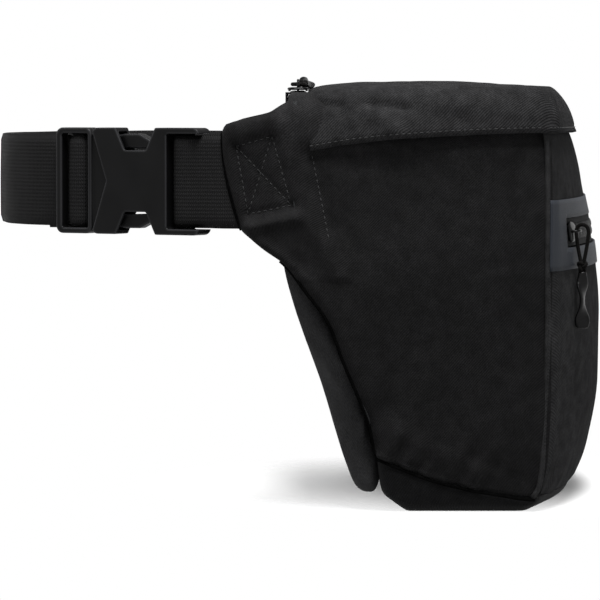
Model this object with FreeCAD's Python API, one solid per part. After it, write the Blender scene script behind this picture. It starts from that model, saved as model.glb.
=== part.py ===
import FreeCAD, Part
import math
import os

# A soft waist pack that stands on its base: a zipped case with a hooded lid, two padded belt wings,
# a 38 mm webbing belt with a side-release buckle, and a zipped pocket in the curved front.
# Frame: X across the wearer's waist, the front faces -Y, +Z up, the floor at Z = 0.
# The origin is under the middle of the whole object, belt included. Millimetres.

V = FreeCAD.Vector

# Case
FABRIC = 2.0  # laminated fabric of the case walls
GAP = 0.4  # clearance between separate pieces
HALF_WIDTH = 140.0  # case half width at the wings
CASE_TOP = 165.0
HOOD_TOP = 175.0
HOOD_HALF = 143.6
HINGE_Y = -97.6
HINGE_Z = 174.4

# Each level of the case: height, half width, back, front at the sides, front in the middle
LEVELS = [
    (0.0, 121.0, -43.0, -92.0, -108.0),
    (3.0, 125.0, -39.0, -96.0, -116.5),
    (8.0, 127.0, -33.5, -98.5, -120.0),
    (22.0, 130.0, -31.0, -101.0, -125.0),
    (50.0, 134.0, -23.0, -102.0, -129.3),
    (76.0, 137.5, -12.5, -102.0, -129.6),
    (102.0, 140.0, -1.0, -102.0, -128.0),
    (128.0, 140.0, 3.0, -102.0, -122.5),
    (150.0, 140.0, 3.0, -101.5, -116.0),
    (CASE_TOP, 140.0, 2.5, -97.5, -107.0),
]

# Wing at each end of the belt
WING_EDGE = [(-4.0, 165.0), (8.5, 164.6), (13.0, 162.5), (29.0, 158.2), (31.5, 154.3)]
WING_EDGE += [(24.2, 116.4), (19.4, 111.5), (14.5, 107.5), (5.0, 101.0), (-4.0, 101.0)]
WING_ROOT = 10.0  # Y where the padding of the wing starts, behind the back panel
FOAM = 5.0
LINING = 1.2

# Front pocket: the zip lies on a circle about an upright axis behind the pack
ZIP_AXIS_Y = 262.0
ZIP_RADIUS = 387.6
ZIP_Z = 113.8
ZIP_TILT = 7.0  # degrees that the zip leans back
WINDOW_HALF_HEIGHT = 6.2
WINDOW_HALF_X = 121.0
PATCH_LOW = 98.8
PATCH_HIGH = 127.6
PATCH = 0.8

# Main zip along the rear top edge
MAIN_Y = 0.8
MAIN_Z = 171.0
MAIN_HALF_TRAVEL = 115.0
REAR_COIL_HALF = 104.0

# Belt and buckle
WEBBING_HEIGHT = 38.0
WEBBING = 1.8
BELT_Z = 135.0
BELT_REAR = 130.0
BUCKLE_START = V(-131.5, 38.5, BELT_Z)
BUCKLE_TURN = 30.4  # degrees between the buckle's length and the Y axis
BUCKLE_HALF = 21.8  # half of its height
HOUSING_END = 52.0
FRAME_START = 52.6
BUCKLE_LENGTH = 70.0


def save(name, shape):
    shape.exportStep("parts/" + name + ".step")


def box(x, y, z):
    """A box from three (low, high) pairs."""
    return Part.makeBox(x[1] - x[0], y[1] - y[0], z[1] - z[0], V(x[0], y[0], z[0]))


def side_prism(outline, x):
    """A (Y, Z) outline drawn out along X between the two ends of x."""
    points = [V(x[0], y, z) for y, z in outline]
    face = Part.Face(Part.makePolygon(points + points[:1]))
    return face.extrude(V(x[1] - x[0], 0, 0))


def plan_prism(outline, z):
    """An (X, Y) outline drawn up between the two ends of z."""
    points = [V(x, y, z[0]) for x, y in outline]
    face = Part.Face(Part.makePolygon(points + points[:1]))
    return face.extrude(V(0, 0, z[1] - z[0]))


def mirrored(shape):
    return shape.mirror(V(0, 0, 0), V(1, 0, 0))


def plan_wire(z, half, back, side, middle):
    """One level of the case: straight back and sides and an arched front."""
    arc = Part.Arc(V(half, side, z), V(0, middle, z), V(-half, side, z)).toShape()
    lines = [
        Part.makeLine(V(-half, side, z), V(-half, back, z)),
        Part.makeLine(V(-half, back, z), V(half, back, z)),
        Part.makeLine(V(half, back, z), V(half, side, z)),
    ]
    return Part.Wire(lines + [arc])


def case_solid(inset, top_rise=0.0):
    """The case as one solid, drawn in by inset on every wall."""
    wires = []
    for z, half, back, side, middle in LEVELS:
        rise = top_rise if z == CASE_TOP else 0.0
        wires.append(plan_wire(z + rise, half - inset, back - inset, side + inset, middle + inset))
    return Part.makeLoft(wires, True, True)


def level_line(column, shift, low=-5.0, high=200.0):
    """(Y, Z) points of one column of LEVELS, moved along Y by shift and run on past both ends."""
    points = [(row[column] + shift, row[0]) for row in LEVELS]
    return [(points[0][0], low)] + points + [(points[-1][0], high)]


# ---------------------------------------------------------------- case

outer = case_solid(0.0)
hollow = case_solid(FABRIC, 6.0)
walls = outer.cut(hollow).cut(box((-200, 200), (-200, 200), (CASE_TOP, 200)))
base_slab = outer.common(box((-200, 200), (-200, 200), (0, FABRIC)))
walls = walls.fuse(base_slab)

# Everything under the bottom seam, which falls from the back to the front
BOTTOM_SEAM = [(-33.5, 22.4), (-40.0, 18.7), (-55.0, 13.1), (-69.0, 9.5), (-81.0, 7.4), (-95.0, 5.4)]
BOTTOM_SEAM += [(-140.0, 5.0)]
below = side_prism([(60, -5), (60, 22.4)] + BOTTOM_SEAM + [(-140, -5)], (-200, 200))
behind = side_prism(level_line(2, -FABRIC) + [(60.0, 200.0), (60.0, -5.0)], (-200, 200))
ahead = side_prism(level_line(3, FABRIC) + [(-200.0, 200.0), (-200.0, -5.0)], (-200, 200))

bottom_panel = walls.common(below)
upper = walls.cut(below)
back_panel = upper.common(behind)
front_wall = upper.cut(behind).common(ahead)
sides = upper.cut(behind).cut(ahead)
side_right = sides.common(box((0, 200), (-200, 200), (-5, 200)))

wing_skin = side_prism(WING_EDGE, (HALF_WIDTH - FABRIC, HALF_WIDTH))
wing_skin = wing_skin.cut(hollow).cut(back_panel)
side_right = side_right.fuse(wing_skin).removeSplitter()


def wing_layer(near, far, inset):
    """A layer of the wing between two X values, drawn in from the wing's edge by inset."""
    slab = side_prism(WING_EDGE, (near, far))
    middle = V(far, 16.0, 135.0)
    scale = FreeCAD.Matrix()
    scale.scale(1.0, 1.0 - inset / 16.0, 1.0 - inset / 30.0)
    slab.translate(middle * -1)
    slab = slab.transformGeometry(scale)
    slab.translate(middle)
    return slab.cut(box((0, 200), (-50, WING_ROOT), (0, 200)))


# Webbing is sewn in between the skin and the foam, so the foam starts one webbing further in
foam_outer = HALF_WIDTH - FABRIC - WEBBING - GAP
wing_foam = wing_layer(foam_outer - FOAM, foam_outer, 1.0)
wing_lining = wing_layer(foam_outer - FOAM - GAP - LINING, foam_outer - FOAM - GAP, 0.3)


def case_width(inset):
    """Everything between the case's two sides, drawn in by inset, at every Y."""
    right = [V(row[1] - inset, -200, row[0]) for row in LEVELS]
    left = [V(inset - row[1], -200, row[0]) for row in reversed(LEVELS)]
    return Part.Face(Part.makePolygon(right + left + right[:1])).extrude(V(0, 400, 0))


# Padding between the back panel and the wearer, flat behind and round at the heel
pad_inner = [(row[2] + GAP, row[0]) for row in LEVELS[2:9]]
PAD_OUTER = [(9.2, 150.0), (9.4, 128.0), (7.0, 104.0), (-21.5, 13.0), (-24.0, 8.0), (-28.0, 5.2)]
PAD_OUTER += [(-33.0, 5.0)]
FOAM_OUTER = [(8.0, 149.0), (8.2, 128.0), (5.8, 104.5), (-22.5, 14.5), (-28.0, 12.0)]
foam_inner = [(y + 0.2, z) for y, z in pad_inner[1:]]
foam_block = side_prism(foam_inner + FOAM_OUTER, (-150, 150))
back_foam = foam_block.common(case_width(4.0))
cover_block = side_prism(pad_inner + PAD_OUTER, (-150, 150)).common(case_width(FABRIC + GAP))
back_cover = cover_block.cut(foam_block.common(case_width(3.7)))

STIFFENER_Z = (FABRIC + GAP, FABRIC + GAP + 1.6)
stiffener = case_solid(FABRIC + GAP).common(box((-200, 200), (-200, 200), STIFFENER_Z))


# ---------------------------------------------------------------- front pocket


def about_zip_axis(outline, half_x):
    """Turn a (radius, Z) outline about the zip's axis, as far as half_x each side of the middle."""
    half_angle = math.degrees(math.asin(half_x / ZIP_RADIUS))
    points = [V(0, ZIP_AXIS_Y - r, z) for r, z in outline]
    face = Part.Face(Part.makePolygon(points + points[:1]))
    solid = face.revolve(V(0, ZIP_AXIS_Y, 0), V(0, 0, 1), 2 * half_angle)
    solid.rotate(V(0, ZIP_AXIS_Y, 0), V(0, 0, 1), -half_angle)
    return solid


def leaning(depth_low, depth_high, along_low, along_high):
    """A rectangle in (radius, Z) that leans with the zip: depth outwards, along upwards."""
    lean = math.radians(ZIP_TILT)
    corners = [
        (depth_low, along_low),
        (depth_high, along_low),
        (depth_high, along_high),
        (depth_low, along_high),
    ]
    outline = []
    for depth, along in corners:
        radius = ZIP_RADIUS + depth * math.cos(lean) - along * math.sin(lean)
        outline.append((radius, ZIP_Z + depth * math.sin(lean) + along * math.cos(lean)))
    return outline


window = about_zip_axis(leaning(-9.0, 9.0, -WINDOW_HALF_HEIGHT, WINDOW_HALF_HEIGHT), WINDOW_HALF_X)
front_panel = front_wall.cut(window)
patch_band = box((-134, 134), (-200, -90), (PATCH_LOW, PATCH_HIGH))
patch_outer = case_solid(-GAP / 2 - PATCH).common(patch_band)
pocket_surround = patch_outer.cut(case_solid(-GAP / 2)).cut(window)
pocket_surround = pocket_surround.cut(box((-200, 200), (-101.0, 50), (0, 200)))

TAPE = 0.6
COIL = 1.0  # half thickness of the closed coil
WEB = 1.1  # half of the gap that the slider's web runs in
COIL_EDGE = 3.0  # where each half's coil ends and its tape starts, from the line of the zip
zip_half = WINDOW_HALF_X - 2.0
tape_upper = about_zip_axis(leaning(-TAPE / 2, TAPE / 2, COIL_EDGE, WINDOW_HALF_HEIGHT - GAP), zip_half)
tape_lower = about_zip_axis(leaning(-TAPE / 2, TAPE / 2, GAP - WINDOW_HALF_HEIGHT, -COIL_EDGE), zip_half)
coil_upper = about_zip_axis(leaning(-COIL, COIL, WEB, COIL_EDGE), zip_half - 2.0)
coil_lower = about_zip_axis(leaning(-COIL, COIL, -COIL_EDGE, -WEB), zip_half - 2.0)

pocket_pouch = about_zip_axis([(377.0, 121.0), (381.0, 121.0), (379.5, 40.0), (377.0, 40.0)], 96.0)


def zip_stop():
    """A block across both coils at one end of the pocket zip."""
    stop = about_zip_axis(leaning(-1.4, 1.4, -4.0, 4.0), 1.2)
    turn = math.degrees(math.asin((zip_half - 0.2) / ZIP_RADIUS))
    stop.rotate(V(0, ZIP_AXIS_Y, 0), V(0, 0, 1), turn)
    return stop


stop_right = zip_stop()
stop_cut = stop_right.fuse(mirrored(stop_right))
tape_upper = tape_upper.cut(stop_cut)
tape_lower = tape_lower.cut(stop_cut)
pocket_stops = Part.makeCompound([stop_right, mirrored(stop_right)])


# ---------------------------------------------------------------- zip sliders and pulls


def slider_body():
    """A slider about its own centre: it runs along X, and its top faces +Z."""
    plate = box((-5.5, 5.5), (-4.2, 4.2), (1.25, 2.25))
    plate = plate.makeFillet(1.5, [e for e in plate.Edges if abs(e.tangentAt(e.FirstParameter).z) > 0.9])
    back = plate.mirror(V(0, 0, 0), V(0, 0, 1))
    web = box((-4.5, 4.5), (-0.6, 0.6), (-2.0, 2.0))
    return plate.fuse([back, web])


BAIL_HOLE = 3.45  # height of the cord's middle over the slider's middle


def slider_bail():
    """The arch on the slider that the cord is threaded through."""
    arch = box((-4.0, 4.0), (-0.5, 0.5), (2.25, 5.6))
    hole = box((-2.6, 2.6), (-1.5, 1.5), (2.25, 4.6))
    return arch.cut(hole)


CORD_RADIUS = 0.8
LOOP_HALF = 2.6  # half width of the cord loop
LOOP_DROP = 16.0
KNOT_RADIUS = 2.0
KNOT_Z = -LOOP_DROP - 1.0
TAB = 1.6  # thickness of the pull tab
TAB_TOP = KNOT_Z - 2.6
TAB_END = TAB_TOP - 23.5


def teardrop(radius, tip_half, tip_z):
    """A face in the XZ plane: round above, about the loop's bend, and narrow at its tip below."""
    left, right = V(-radius, 0, -LOOP_HALF), V(radius, 0, -LOOP_HALF)
    tip_left, tip_right = V(-tip_half, 0, tip_z), V(tip_half, 0, tip_z)
    bend = Part.Arc(left, V(0, 0, radius - LOOP_HALF), right).toShape()
    corners = [right, tip_right, tip_left, left]
    sides = [Part.makeLine(a, b) for a, b in zip(corners, corners[1:])]
    return Part.Face(Part.Wire([bend] + sides))


def pull_cord():
    """A plain cord loop that hangs down -Z from its bend at the origin, with its knot."""
    outside = teardrop(LOOP_HALF + CORD_RADIUS, 1.6, KNOT_Z)
    inside = teardrop(LOOP_HALF - CORD_RADIUS, 0.1, KNOT_Z + 1.6)
    loop = outside.cut(inside).extrude(V(0, 2 * CORD_RADIUS, 0))
    loop.translate(V(0, -CORD_RADIUS, 0))
    return loop.fuse(Part.makeCylinder(KNOT_RADIUS, 3.6, V(0, 0, KNOT_Z - 1.8)))


def pull_tab():
    """A moulded tab, thinner in its waist, under the knot."""
    right = [(1.8, TAB_TOP), (3.2, TAB_TOP - 6), (2.6, TAB_TOP - 13), (3.4, TAB_TOP - 21), (3.0, TAB_END)]
    left = [(-x, z) for x, z in reversed(right)]
    points = [V(x, -TAB / 2, z) for x, z in right + left]
    return Part.Face(Part.makePolygon(points + points[:1])).extrude(V(0, TAB, 0))


# Main zip: its plane is level, and the lid's half lies on the front side of the line
coil_height = (MAIN_Z - COIL, MAIN_Z + COIL)
tape_height = (MAIN_Z - TAPE / 2, MAIN_Z + TAPE / 2)
main_coil_lid = box((-118, 118), (MAIN_Y - COIL_EDGE, MAIN_Y - WEB), coil_height)
main_tape_lid = box((-122, 122), (MAIN_Y - 6.2, MAIN_Y - COIL_EDGE), tape_height)
main_coil_rear = box((-REAR_COIL_HALF, REAR_COIL_HALF), (MAIN_Y + WEB, MAIN_Y + COIL_EDGE), coil_height)

# The rear tape turns down behind the slider and runs on to the back panel
TAPE_DROP_Y = MAIN_Y + 4.6
TAPE_FOOT_Z = 152.0
rear_tape_line = [
    (MAIN_Y + COIL_EDGE, tape_height[0]),
    (MAIN_Y + COIL_EDGE, tape_height[1]),
    (TAPE_DROP_Y + TAPE, tape_height[1]),
    (TAPE_DROP_Y + TAPE, TAPE_FOOT_Z),
    (TAPE_DROP_Y, TAPE_FOOT_Z),
    (TAPE_DROP_Y, tape_height[0]),
]
main_tape_rear = side_prism(rear_tape_line, (-REAR_COIL_HALF, REAR_COIL_HALF))
main_tape_rear = main_tape_rear.cut(back_panel).cut(back_cover)

end_tab = box((122.5, 130.0), (MAIN_Y - 5.0, MAIN_Y + 4.0), (CASE_TOP - 3.0, MAIN_Z - 1.0))
end_tab = end_tab.cut(outer).cut(wing_skin)
main_end_tabs = Part.makeCompound([end_tab, mirrored(end_tab)])

main_place = V(-MAIN_HALF_TRAVEL, MAIN_Y, MAIN_Z)
main_slider = slider_body()
main_bail = slider_bail()
for shape in (main_slider, main_bail):
    shape.translate(main_place)

# The pull lies along the zip, and leans a little over the lid
PULL_RISE = 1.2
PULL_ASIDE = 6.0
TAB_ASIDE = 22.0  # the tab's own turn at the knot
main_cord = pull_cord()
main_tab = pull_tab()
main_tab.rotate(V(0, 0, 0), V(0, 0, 1), 90)
main_tab.rotate(V(0, 0, KNOT_Z), V(1, 0, 0), TAB_ASIDE)
main_tab.rotate(V(0, 0, 0), V(0, 0, 1), -90)
for shape in (main_cord, main_tab):
    shape.rotate(V(0, 0, 0), V(0, 0, 1), 90)
    shape.rotate(V(0, 0, 0), V(0, 1, 0), -90 - PULL_RISE)
    shape.rotate(V(0, 0, 0), V(0, 0, 1), -PULL_ASIDE)
    shape.translate(main_place + V(0, 0, BAIL_HOLE))

# Pocket zip: the slider is turned about the zip's axis to the near end, its top facing outwards
SLIDER_X = -108.0
slider_angle = math.degrees(math.asin(SLIDER_X / ZIP_RADIUS))


def on_pocket_zip(shape):
    """Put a shape from the slider's own frame at the slider's place on the pocket zip."""
    placed = shape.copy()
    placed.rotate(V(0, 0, 0), V(1, 0, 0), 90 - ZIP_TILT)
    placed.translate(V(0, ZIP_AXIS_Y - ZIP_RADIUS, ZIP_Z))
    placed.rotate(V(0, ZIP_AXIS_Y, 0), V(0, 0, 1), slider_angle)
    return placed


pocket_slider = on_pocket_zip(slider_body())
pocket_bail = on_pocket_zip(slider_bail())


def hung_from_pocket_slider(shape, turn):
    """Hang a pull round the bar of the pocket slider's bail, turned about its own length."""
    placed = shape.copy()
    placed.rotate(V(0, 0, 0), V(0, 0, 1), turn)
    placed.translate(V(0, ZIP_AXIS_Y - ZIP_RADIUS - BAIL_HOLE - LOOP_HALF, ZIP_Z + LOOP_HALF + 0.6))
    placed.rotate(V(0, ZIP_AXIS_Y, 0), V(0, 0, 1), slider_angle)
    return placed


pocket_cord = hung_from_pocket_slider(pull_cord(), 90)
pocket_tab = hung_from_pocket_slider(pull_tab(), 4)


# ---------------------------------------------------------------- lid

LID_REAR = -5.6
hood_outline = [(HINGE_Y, HINGE_Z), (-60.0, HOOD_TOP), (-20.0, HOOD_TOP - 0.4), (-9.0, 173.8)]
hood_outline += [(LID_REAR, 172.0), (LID_REAR, 148.0), (-40.0, 153.0), (-81.0, 155.0), (HINGE_Y, 155.6)]
hood_inside = [(-120.0, 172.4), (-60.0, 173.0), (-20.0, 173.0), (-9.0, 172.2), (40.0, 170.2)]
hood_inside += [(40.0, 100.0), (-120.0, 100.0)]
lid_panel = side_prism(hood_outline, (-HOOD_HALF, HOOD_HALF))
lid_panel = lid_panel.cut(side_prism(hood_inside, (-HOOD_HALF + FABRIC, HOOD_HALF - FABRIC)))
lid_panel = lid_panel.cut(main_tape_lid)


def visor_solid(inset, drop):
    """The hood's front: straight behind, arched ahead, sloping from the top to its lower edge."""
    rear = HINGE_Y - GAP
    rows = [(174.0 - inset, -100.0, -107.0), (155.6 - drop, -104.5, -119.5)]
    wires = []
    for z, side, middle in rows:
        half = HOOD_HALF - inset
        corner = [V(-half, rear + drop, z), V(half, rear + drop, z), V(half, side + inset, z)]
        arc = Part.Arc(corner[2], V(0, middle + inset, z), V(-half, side + inset, z)).toShape()
        lines = [
            Part.makeLine(V(-half, side + inset, z), corner[0]),
            Part.makeLine(corner[0], corner[1]),
            Part.makeLine(corner[1], corner[2]),
        ]
        wires.append(Part.Wire(lines + [arc]))
    return Part.makeLoft(wires, True, True)


hood_visor = visor_solid(0.0, 0.0).cut(visor_solid(1.6, 2.0))


# ---------------------------------------------------------------- belt and buckle

turn = math.radians(BUCKLE_TURN)
ALONG = V(math.sin(turn), math.cos(turn), 0)
OUTWARD = V(-math.cos(turn), math.sin(turn), 0)


def on_belt(shape):
    """Place a shape from the buckle's frame: X along the belt, Y outwards, Z up."""
    matrix = FreeCAD.Matrix()
    matrix.A11, matrix.A21 = ALONG.x, ALONG.y
    matrix.A12, matrix.A22 = OUTWARD.x, OUTWARD.y
    placed = shape.copy()
    placed.Placement = FreeCAD.Placement(BUCKLE_START, FreeCAD.Placement(matrix).Rotation)
    return placed


def rounded_box(x, y, z, radius):
    """A box whose edges along Y are rounded."""
    shape = box(x, y, z)
    edges = [e for e in shape.Edges if abs(e.tangentAt(e.FirstParameter).y) > 0.9]
    return shape.makeFillet(radius, edges)


def face_prism(outline, y):
    """An (X, Z) outline drawn along Y between the two ends of y."""
    points = [V(x, y[0], z) for x, z in outline]
    return Part.Face(Part.makePolygon(points + points[:1])).extrude(V(0, y[1] - y[0], 0))


def both_edges(shape):
    """A shape and its mirror image in the buckle's middle plane."""
    return shape.fuse(shape.mirror(V(0, 0, 0), V(0, 0, 1)))


SLOT_HALF = 19.4
CAVITY_HALF = 20.0
housing = rounded_box((0, HOUSING_END), (-5.0, 5.0), (-BUCKLE_HALF, BUCKLE_HALF), 3.0)
housing = housing.cut(box((17.0, 60.0), (-3.4, 3.4), (-CAVITY_HALF, CAVITY_HALF)))
housing = housing.cut(box((12.6, 15.6), (-9, 9), (-SLOT_HALF, SLOT_HALF)))
housing = housing.cut(box((-1.0, 12.7), (1.9, 9), (-SLOT_HALF, SLOT_HALF)))
housing = housing.cut(box((-1.0, 12.7), (-9, -1.9), (-SLOT_HALF, SLOT_HALF)))
housing = housing.cut(box((-1.0, 6.0), (-9, 9), (-SLOT_HALF, SLOT_HALF)))
NOTCH = [(20.0, 24.0), (25.6, 12.6), (35.8, 12.6), (41.2, 24.0)]
housing = housing.cut(both_edges(face_prism(NOTCH, (-9, 9))))
MOUTH = [(44.8, 0.0), (53.0, -24.5), (60.0, -24.5), (60.0, 24.5), (53.0, 24.5)]
housing = housing.cut(face_prism(MOUTH, (-9, 9)))
buckle_female = on_belt(housing)

frame = rounded_box((FRAME_START, BUCKLE_LENGTH), (-4.0, 4.0), (-BUCKLE_HALF, BUCKLE_HALF), 3.0)
frame = frame.cut(box((63.0, 67.2), (-9, 9), (-SLOT_HALF, SLOT_HALF)))
frame = frame.cut(box((54.4, 57.4), (-9, 9), (-SLOT_HALF, SLOT_HALF)))
frame = frame.cut(box((57.3, 63.1), (1.9, 9), (-SLOT_HALF, SLOT_HALF)))
frame = frame.cut(box((57.3, 63.1), (-9, -1.9), (-SLOT_HALF, SLOT_HALF)))
frame = frame.cut(box((67.1, 75.0), (-9, -1.0), (-SLOT_HALF, SLOT_HALF)))
tongue = box((46.2, 54.0), (-2.9, 2.9), (-19.4, 19.4))
guide = box((20.0, 46.3), (-2.2, 2.2), (-3.0, 3.0))
male = frame.fuse([tongue, guide])

ARM_PIVOT = (47.6, 15.6)  # along the buckle and up from its middle
ARM_TOP = 19.3
pivot_hole = Part.makeCylinder(2.7, 12, V(ARM_PIVOT[0], -6, ARM_PIVOT[1]), V(0, 1, 0))
pivot_room = pivot_hole.fuse(box((40.0, ARM_PIVOT[0]), (-6, 6), (10.4, 30.0)))
male = male.cut(both_edges(pivot_room))
buckle_male = on_belt(male)

ARM_HALF = 2.6
arm_line = [(47.6, 17.6), (37.0, ARM_TOP), (30.0, ARM_TOP), (24.6, 16.6)]
arm_line += [(24.6, 13.2), (35.0, 13.6), (47.6, 13.6)]
arm = face_prism(arm_line, (-ARM_HALF, ARM_HALF))
arm = arm.fuse(Part.makeCylinder(2.0, 2 * ARM_HALF, V(ARM_PIVOT[0], -ARM_HALF, ARM_PIVOT[1]), V(0, 1, 0)))
buckle_arm_upper = on_belt(arm)
buckle_arm_lower = on_belt(arm.mirror(V(0, 0, 0), V(0, 0, 1)))


BAND_LOW = BELT_Z - WEBBING_HEIGHT / 2
BAND_HIGH = BELT_Z + WEBBING_HEIGHT / 2


def belt_point(along, outward):
    """The level place of a point in the buckle's frame."""
    place = ALONG * along + OUTWARD * outward
    return V(BUCKLE_START.x + place.x, BUCKLE_START.y + place.y, 0)


def straight_band(a, b):
    """Webbing that stands on edge between two level points, with their line in its middle."""
    run = b - a
    side = V(-run.y, run.x, 0) * (WEBBING / 2 / run.Length)
    corners = [a + side, a - side, b - side, b + side]
    return plan_prism([(p.x, p.y) for p in corners], (BAND_LOW, BAND_HIGH))


def bent_band(centre, radius, first, last):
    """Webbing on edge along an arc, between two angles in degrees from the X axis."""
    outline = box((radius - WEBBING / 2, radius + WEBBING / 2), (0, 1), (BAND_LOW, BAND_HIGH))
    section = [f for f in outline.Faces if f.CenterOfMass.y < 0.01][0]
    band = section.revolve(V(0, 0, 0), V(0, 0, 1), last - first)
    band.rotate(V(0, 0, 0), V(0, 0, 1), first)
    band.translate(centre)
    return band


def curved_belt(start, heading, apex):
    """Two arcs of webbing from a start with its heading in degrees to the belt's rear apex."""
    first = math.radians(heading)
    last = math.radians(REAR_SWEEP)
    across = math.sin(first) - math.sin(last)
    forward = math.cos(last) - math.cos(first)
    run_x = apex.x - start.x
    run_y = apex.y - start.y
    flat_x = math.sin(last)
    flat_y = 1 - math.cos(last)
    near = (run_x * flat_y - run_y * flat_x) / (across * flat_y - forward * flat_x)
    far = (run_x - near * across) / flat_x
    near_centre = start + V(math.sin(first), -math.cos(first), 0) * near
    far_centre = apex + V(0, -far, 0)
    bend = bent_band(near_centre, near, 90 + REAR_SWEEP, 90 + heading)
    flat = bent_band(far_centre, far, 90, 90 + REAR_SWEEP)
    return bend.fuse(flat)


def bar_sleeve(start, end, clear, room):
    """A sleeve of webbing round a buckle bar, in the buckle's frame."""
    height = (-WEBBING_HEIGHT / 2, WEBBING_HEIGHT / 2)
    half = 1.9 + clear
    outside = box((start - clear - room, end + clear + room), (-half - room, half + room), height)
    return outside.cut(box((start - clear, end + clear), (-half, half), (-30, 30)))


REAR_SWEEP = 10.0  # degrees of the flat arc behind the wearer, each side of the apex
SLEEVE = 1.5
APEX_GAP = 2.0
SEWN_X = HALF_WIDTH - FABRIC - GAP / 2 - WEBBING / 2
WING_TIP_Y = 31.5

root_left = V(-SEWN_X, 12.0, 0)
tip_left = V(-SEWN_X, WING_TIP_Y, 0)
anchor = straight_band(root_left, tip_left).fuse(straight_band(tip_left, belt_point(5.2, -0.4)))
anchor_webbing = anchor.fuse(on_belt(bar_sleeve(6.0, 12.6, 0.2, SLEEVE)))

INNER_RUN = -2.3  # the strap passes on the wearer's side of the frame's end bar
strap_start = belt_point(64.2, INNER_RUN)
strap_bend = belt_point(72.5, INNER_RUN)
rear_y = BELT_REAR - WEBBING / 2
strap_near = curved_belt(strap_bend, 90 - BUCKLE_TURN, V(0, rear_y, 0))
strap_near = strap_near.cut(box((-APEX_GAP, 50), (0, 200), (0, 200)))
tail = box((55.7, 79.0), (-5.9, -4.3), (-WEBBING_HEIGHT / 2, WEBBING_HEIGHT / 2))
tail_link = box((55.7, 57.2), (-5.9, -3.0), (-WEBBING_HEIGHT / 2, WEBBING_HEIGHT / 2))
wrapped = on_belt(bar_sleeve(57.4, 63.0, 0.2, SLEEVE).fuse([tail, tail_link]))
strap_near = strap_near.fuse([straight_band(strap_start, strap_bend), wrapped])

strap_far = mirrored(curved_belt(V(-SEWN_X, WING_TIP_Y, 0), 90, V(0, rear_y, 0)))
strap_far = strap_far.fuse(straight_band(V(SEWN_X, WING_TIP_Y, 0), V(SEWN_X, 12.0, 0)))


# ---------------------------------------------------------------- export

os.makedirs("parts", exist_ok=True)

save("side_panel_right", side_right)
save("side_panel_left", mirrored(side_right))
save("wing_foam_right", wing_foam)
save("wing_foam_left", mirrored(wing_foam))
save("wing_lining_right", wing_lining)
save("wing_lining_left", mirrored(wing_lining))
save("back_panel", back_panel)
save("back_cover", back_cover)
save("back_foam", back_foam)
save("front_panel", front_panel)
save("hood_visor", hood_visor)
save("bottom_panel", bottom_panel)
save("base_stiffener", stiffener)

save("lid_panel", lid_panel)
save("main_tape_lid", main_tape_lid)
save("main_coil_lid", main_coil_lid)
save("main_tape_rear", main_tape_rear)
save("main_coil_rear", main_coil_rear)
save("main_end_tabs", main_end_tabs)
save("main_slider", main_slider)
save("main_pull_bail", main_bail)
save("main_pull_cord", main_cord)
save("main_pull_tab", main_tab)

save("pocket_surround", pocket_surround)
save("pocket_pouch", pocket_pouch)
save("pocket_tape_upper", tape_upper)
save("pocket_tape_lower", tape_lower)
save("pocket_coil_upper", coil_upper)
save("pocket_coil_lower", coil_lower)
save("pocket_zip_stops", pocket_stops)
save("pocket_slider", pocket_slider)
save("pocket_pull_bail", pocket_bail)
save("pocket_pull_cord", pocket_cord)
save("pocket_pull_tab", pocket_tab)

save("anchor_webbing", anchor_webbing)
save("buckle_female", buckle_female)
save("buckle_male", buckle_male)
save("buckle_arm_upper", buckle_arm_upper)
save("buckle_arm_lower", buckle_arm_lower)
save("strap_near", strap_near)
save("strap_far", strap_far)
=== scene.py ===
import math
from bisect import bisect_right

import bmesh
import bpy
from mathutils import Matrix, Vector, noise
from mathutils.bvhtree import BVHTree


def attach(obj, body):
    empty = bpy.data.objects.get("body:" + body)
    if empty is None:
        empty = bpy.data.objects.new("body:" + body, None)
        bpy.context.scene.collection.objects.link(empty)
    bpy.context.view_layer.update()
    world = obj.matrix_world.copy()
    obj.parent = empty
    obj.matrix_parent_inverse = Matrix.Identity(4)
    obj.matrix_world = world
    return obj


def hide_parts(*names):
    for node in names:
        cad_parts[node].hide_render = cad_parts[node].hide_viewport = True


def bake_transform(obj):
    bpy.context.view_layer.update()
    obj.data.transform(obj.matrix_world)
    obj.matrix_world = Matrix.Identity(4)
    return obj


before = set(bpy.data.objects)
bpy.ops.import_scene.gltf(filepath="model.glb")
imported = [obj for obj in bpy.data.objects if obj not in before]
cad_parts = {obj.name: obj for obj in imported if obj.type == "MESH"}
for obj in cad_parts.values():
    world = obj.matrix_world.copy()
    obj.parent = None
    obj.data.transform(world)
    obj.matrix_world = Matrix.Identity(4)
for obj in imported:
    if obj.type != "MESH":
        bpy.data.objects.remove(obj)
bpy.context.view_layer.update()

# A soft waist pack. X runs across the wearer's waist, and the side named left is at -X and faces the
# camera. The front faces -Y, and +Z is up. Shapes are worked out in millimetres, and turned into metres
# as each mesh is made.

MM = 0.001

# ---------------- lines and meshes


def profile(*points):
    """A smooth function through (input, output) points that never overshoots them."""
    inputs, outputs = zip(*points)
    count = len(points) - 1
    rates = [(outputs[i + 1] - outputs[i]) / (inputs[i + 1] - inputs[i]) for i in range(count)]
    slopes = [rates[0]]
    for before, after in zip(rates, rates[1:]):
        slopes.append(0.0 if before * after <= 0 else 2 * before * after / (before + after))
    slopes.append(rates[-1])

    def at(value):
        value = min(max(value, inputs[0]), inputs[-1])
        i = min(bisect_right(inputs, value) - 1, count - 1)
        run = inputs[i + 1] - inputs[i]
        t = (value - inputs[i]) / run
        start = (1 + 2 * t) * (1 - t) ** 2 * outputs[i] + t * (1 - t) ** 2 * run * slopes[i]
        end = t * t * (3 - 2 * t) * outputs[i + 1] - t * t * (1 - t) * run * slopes[i + 1]
        return start + end

    return at


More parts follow.
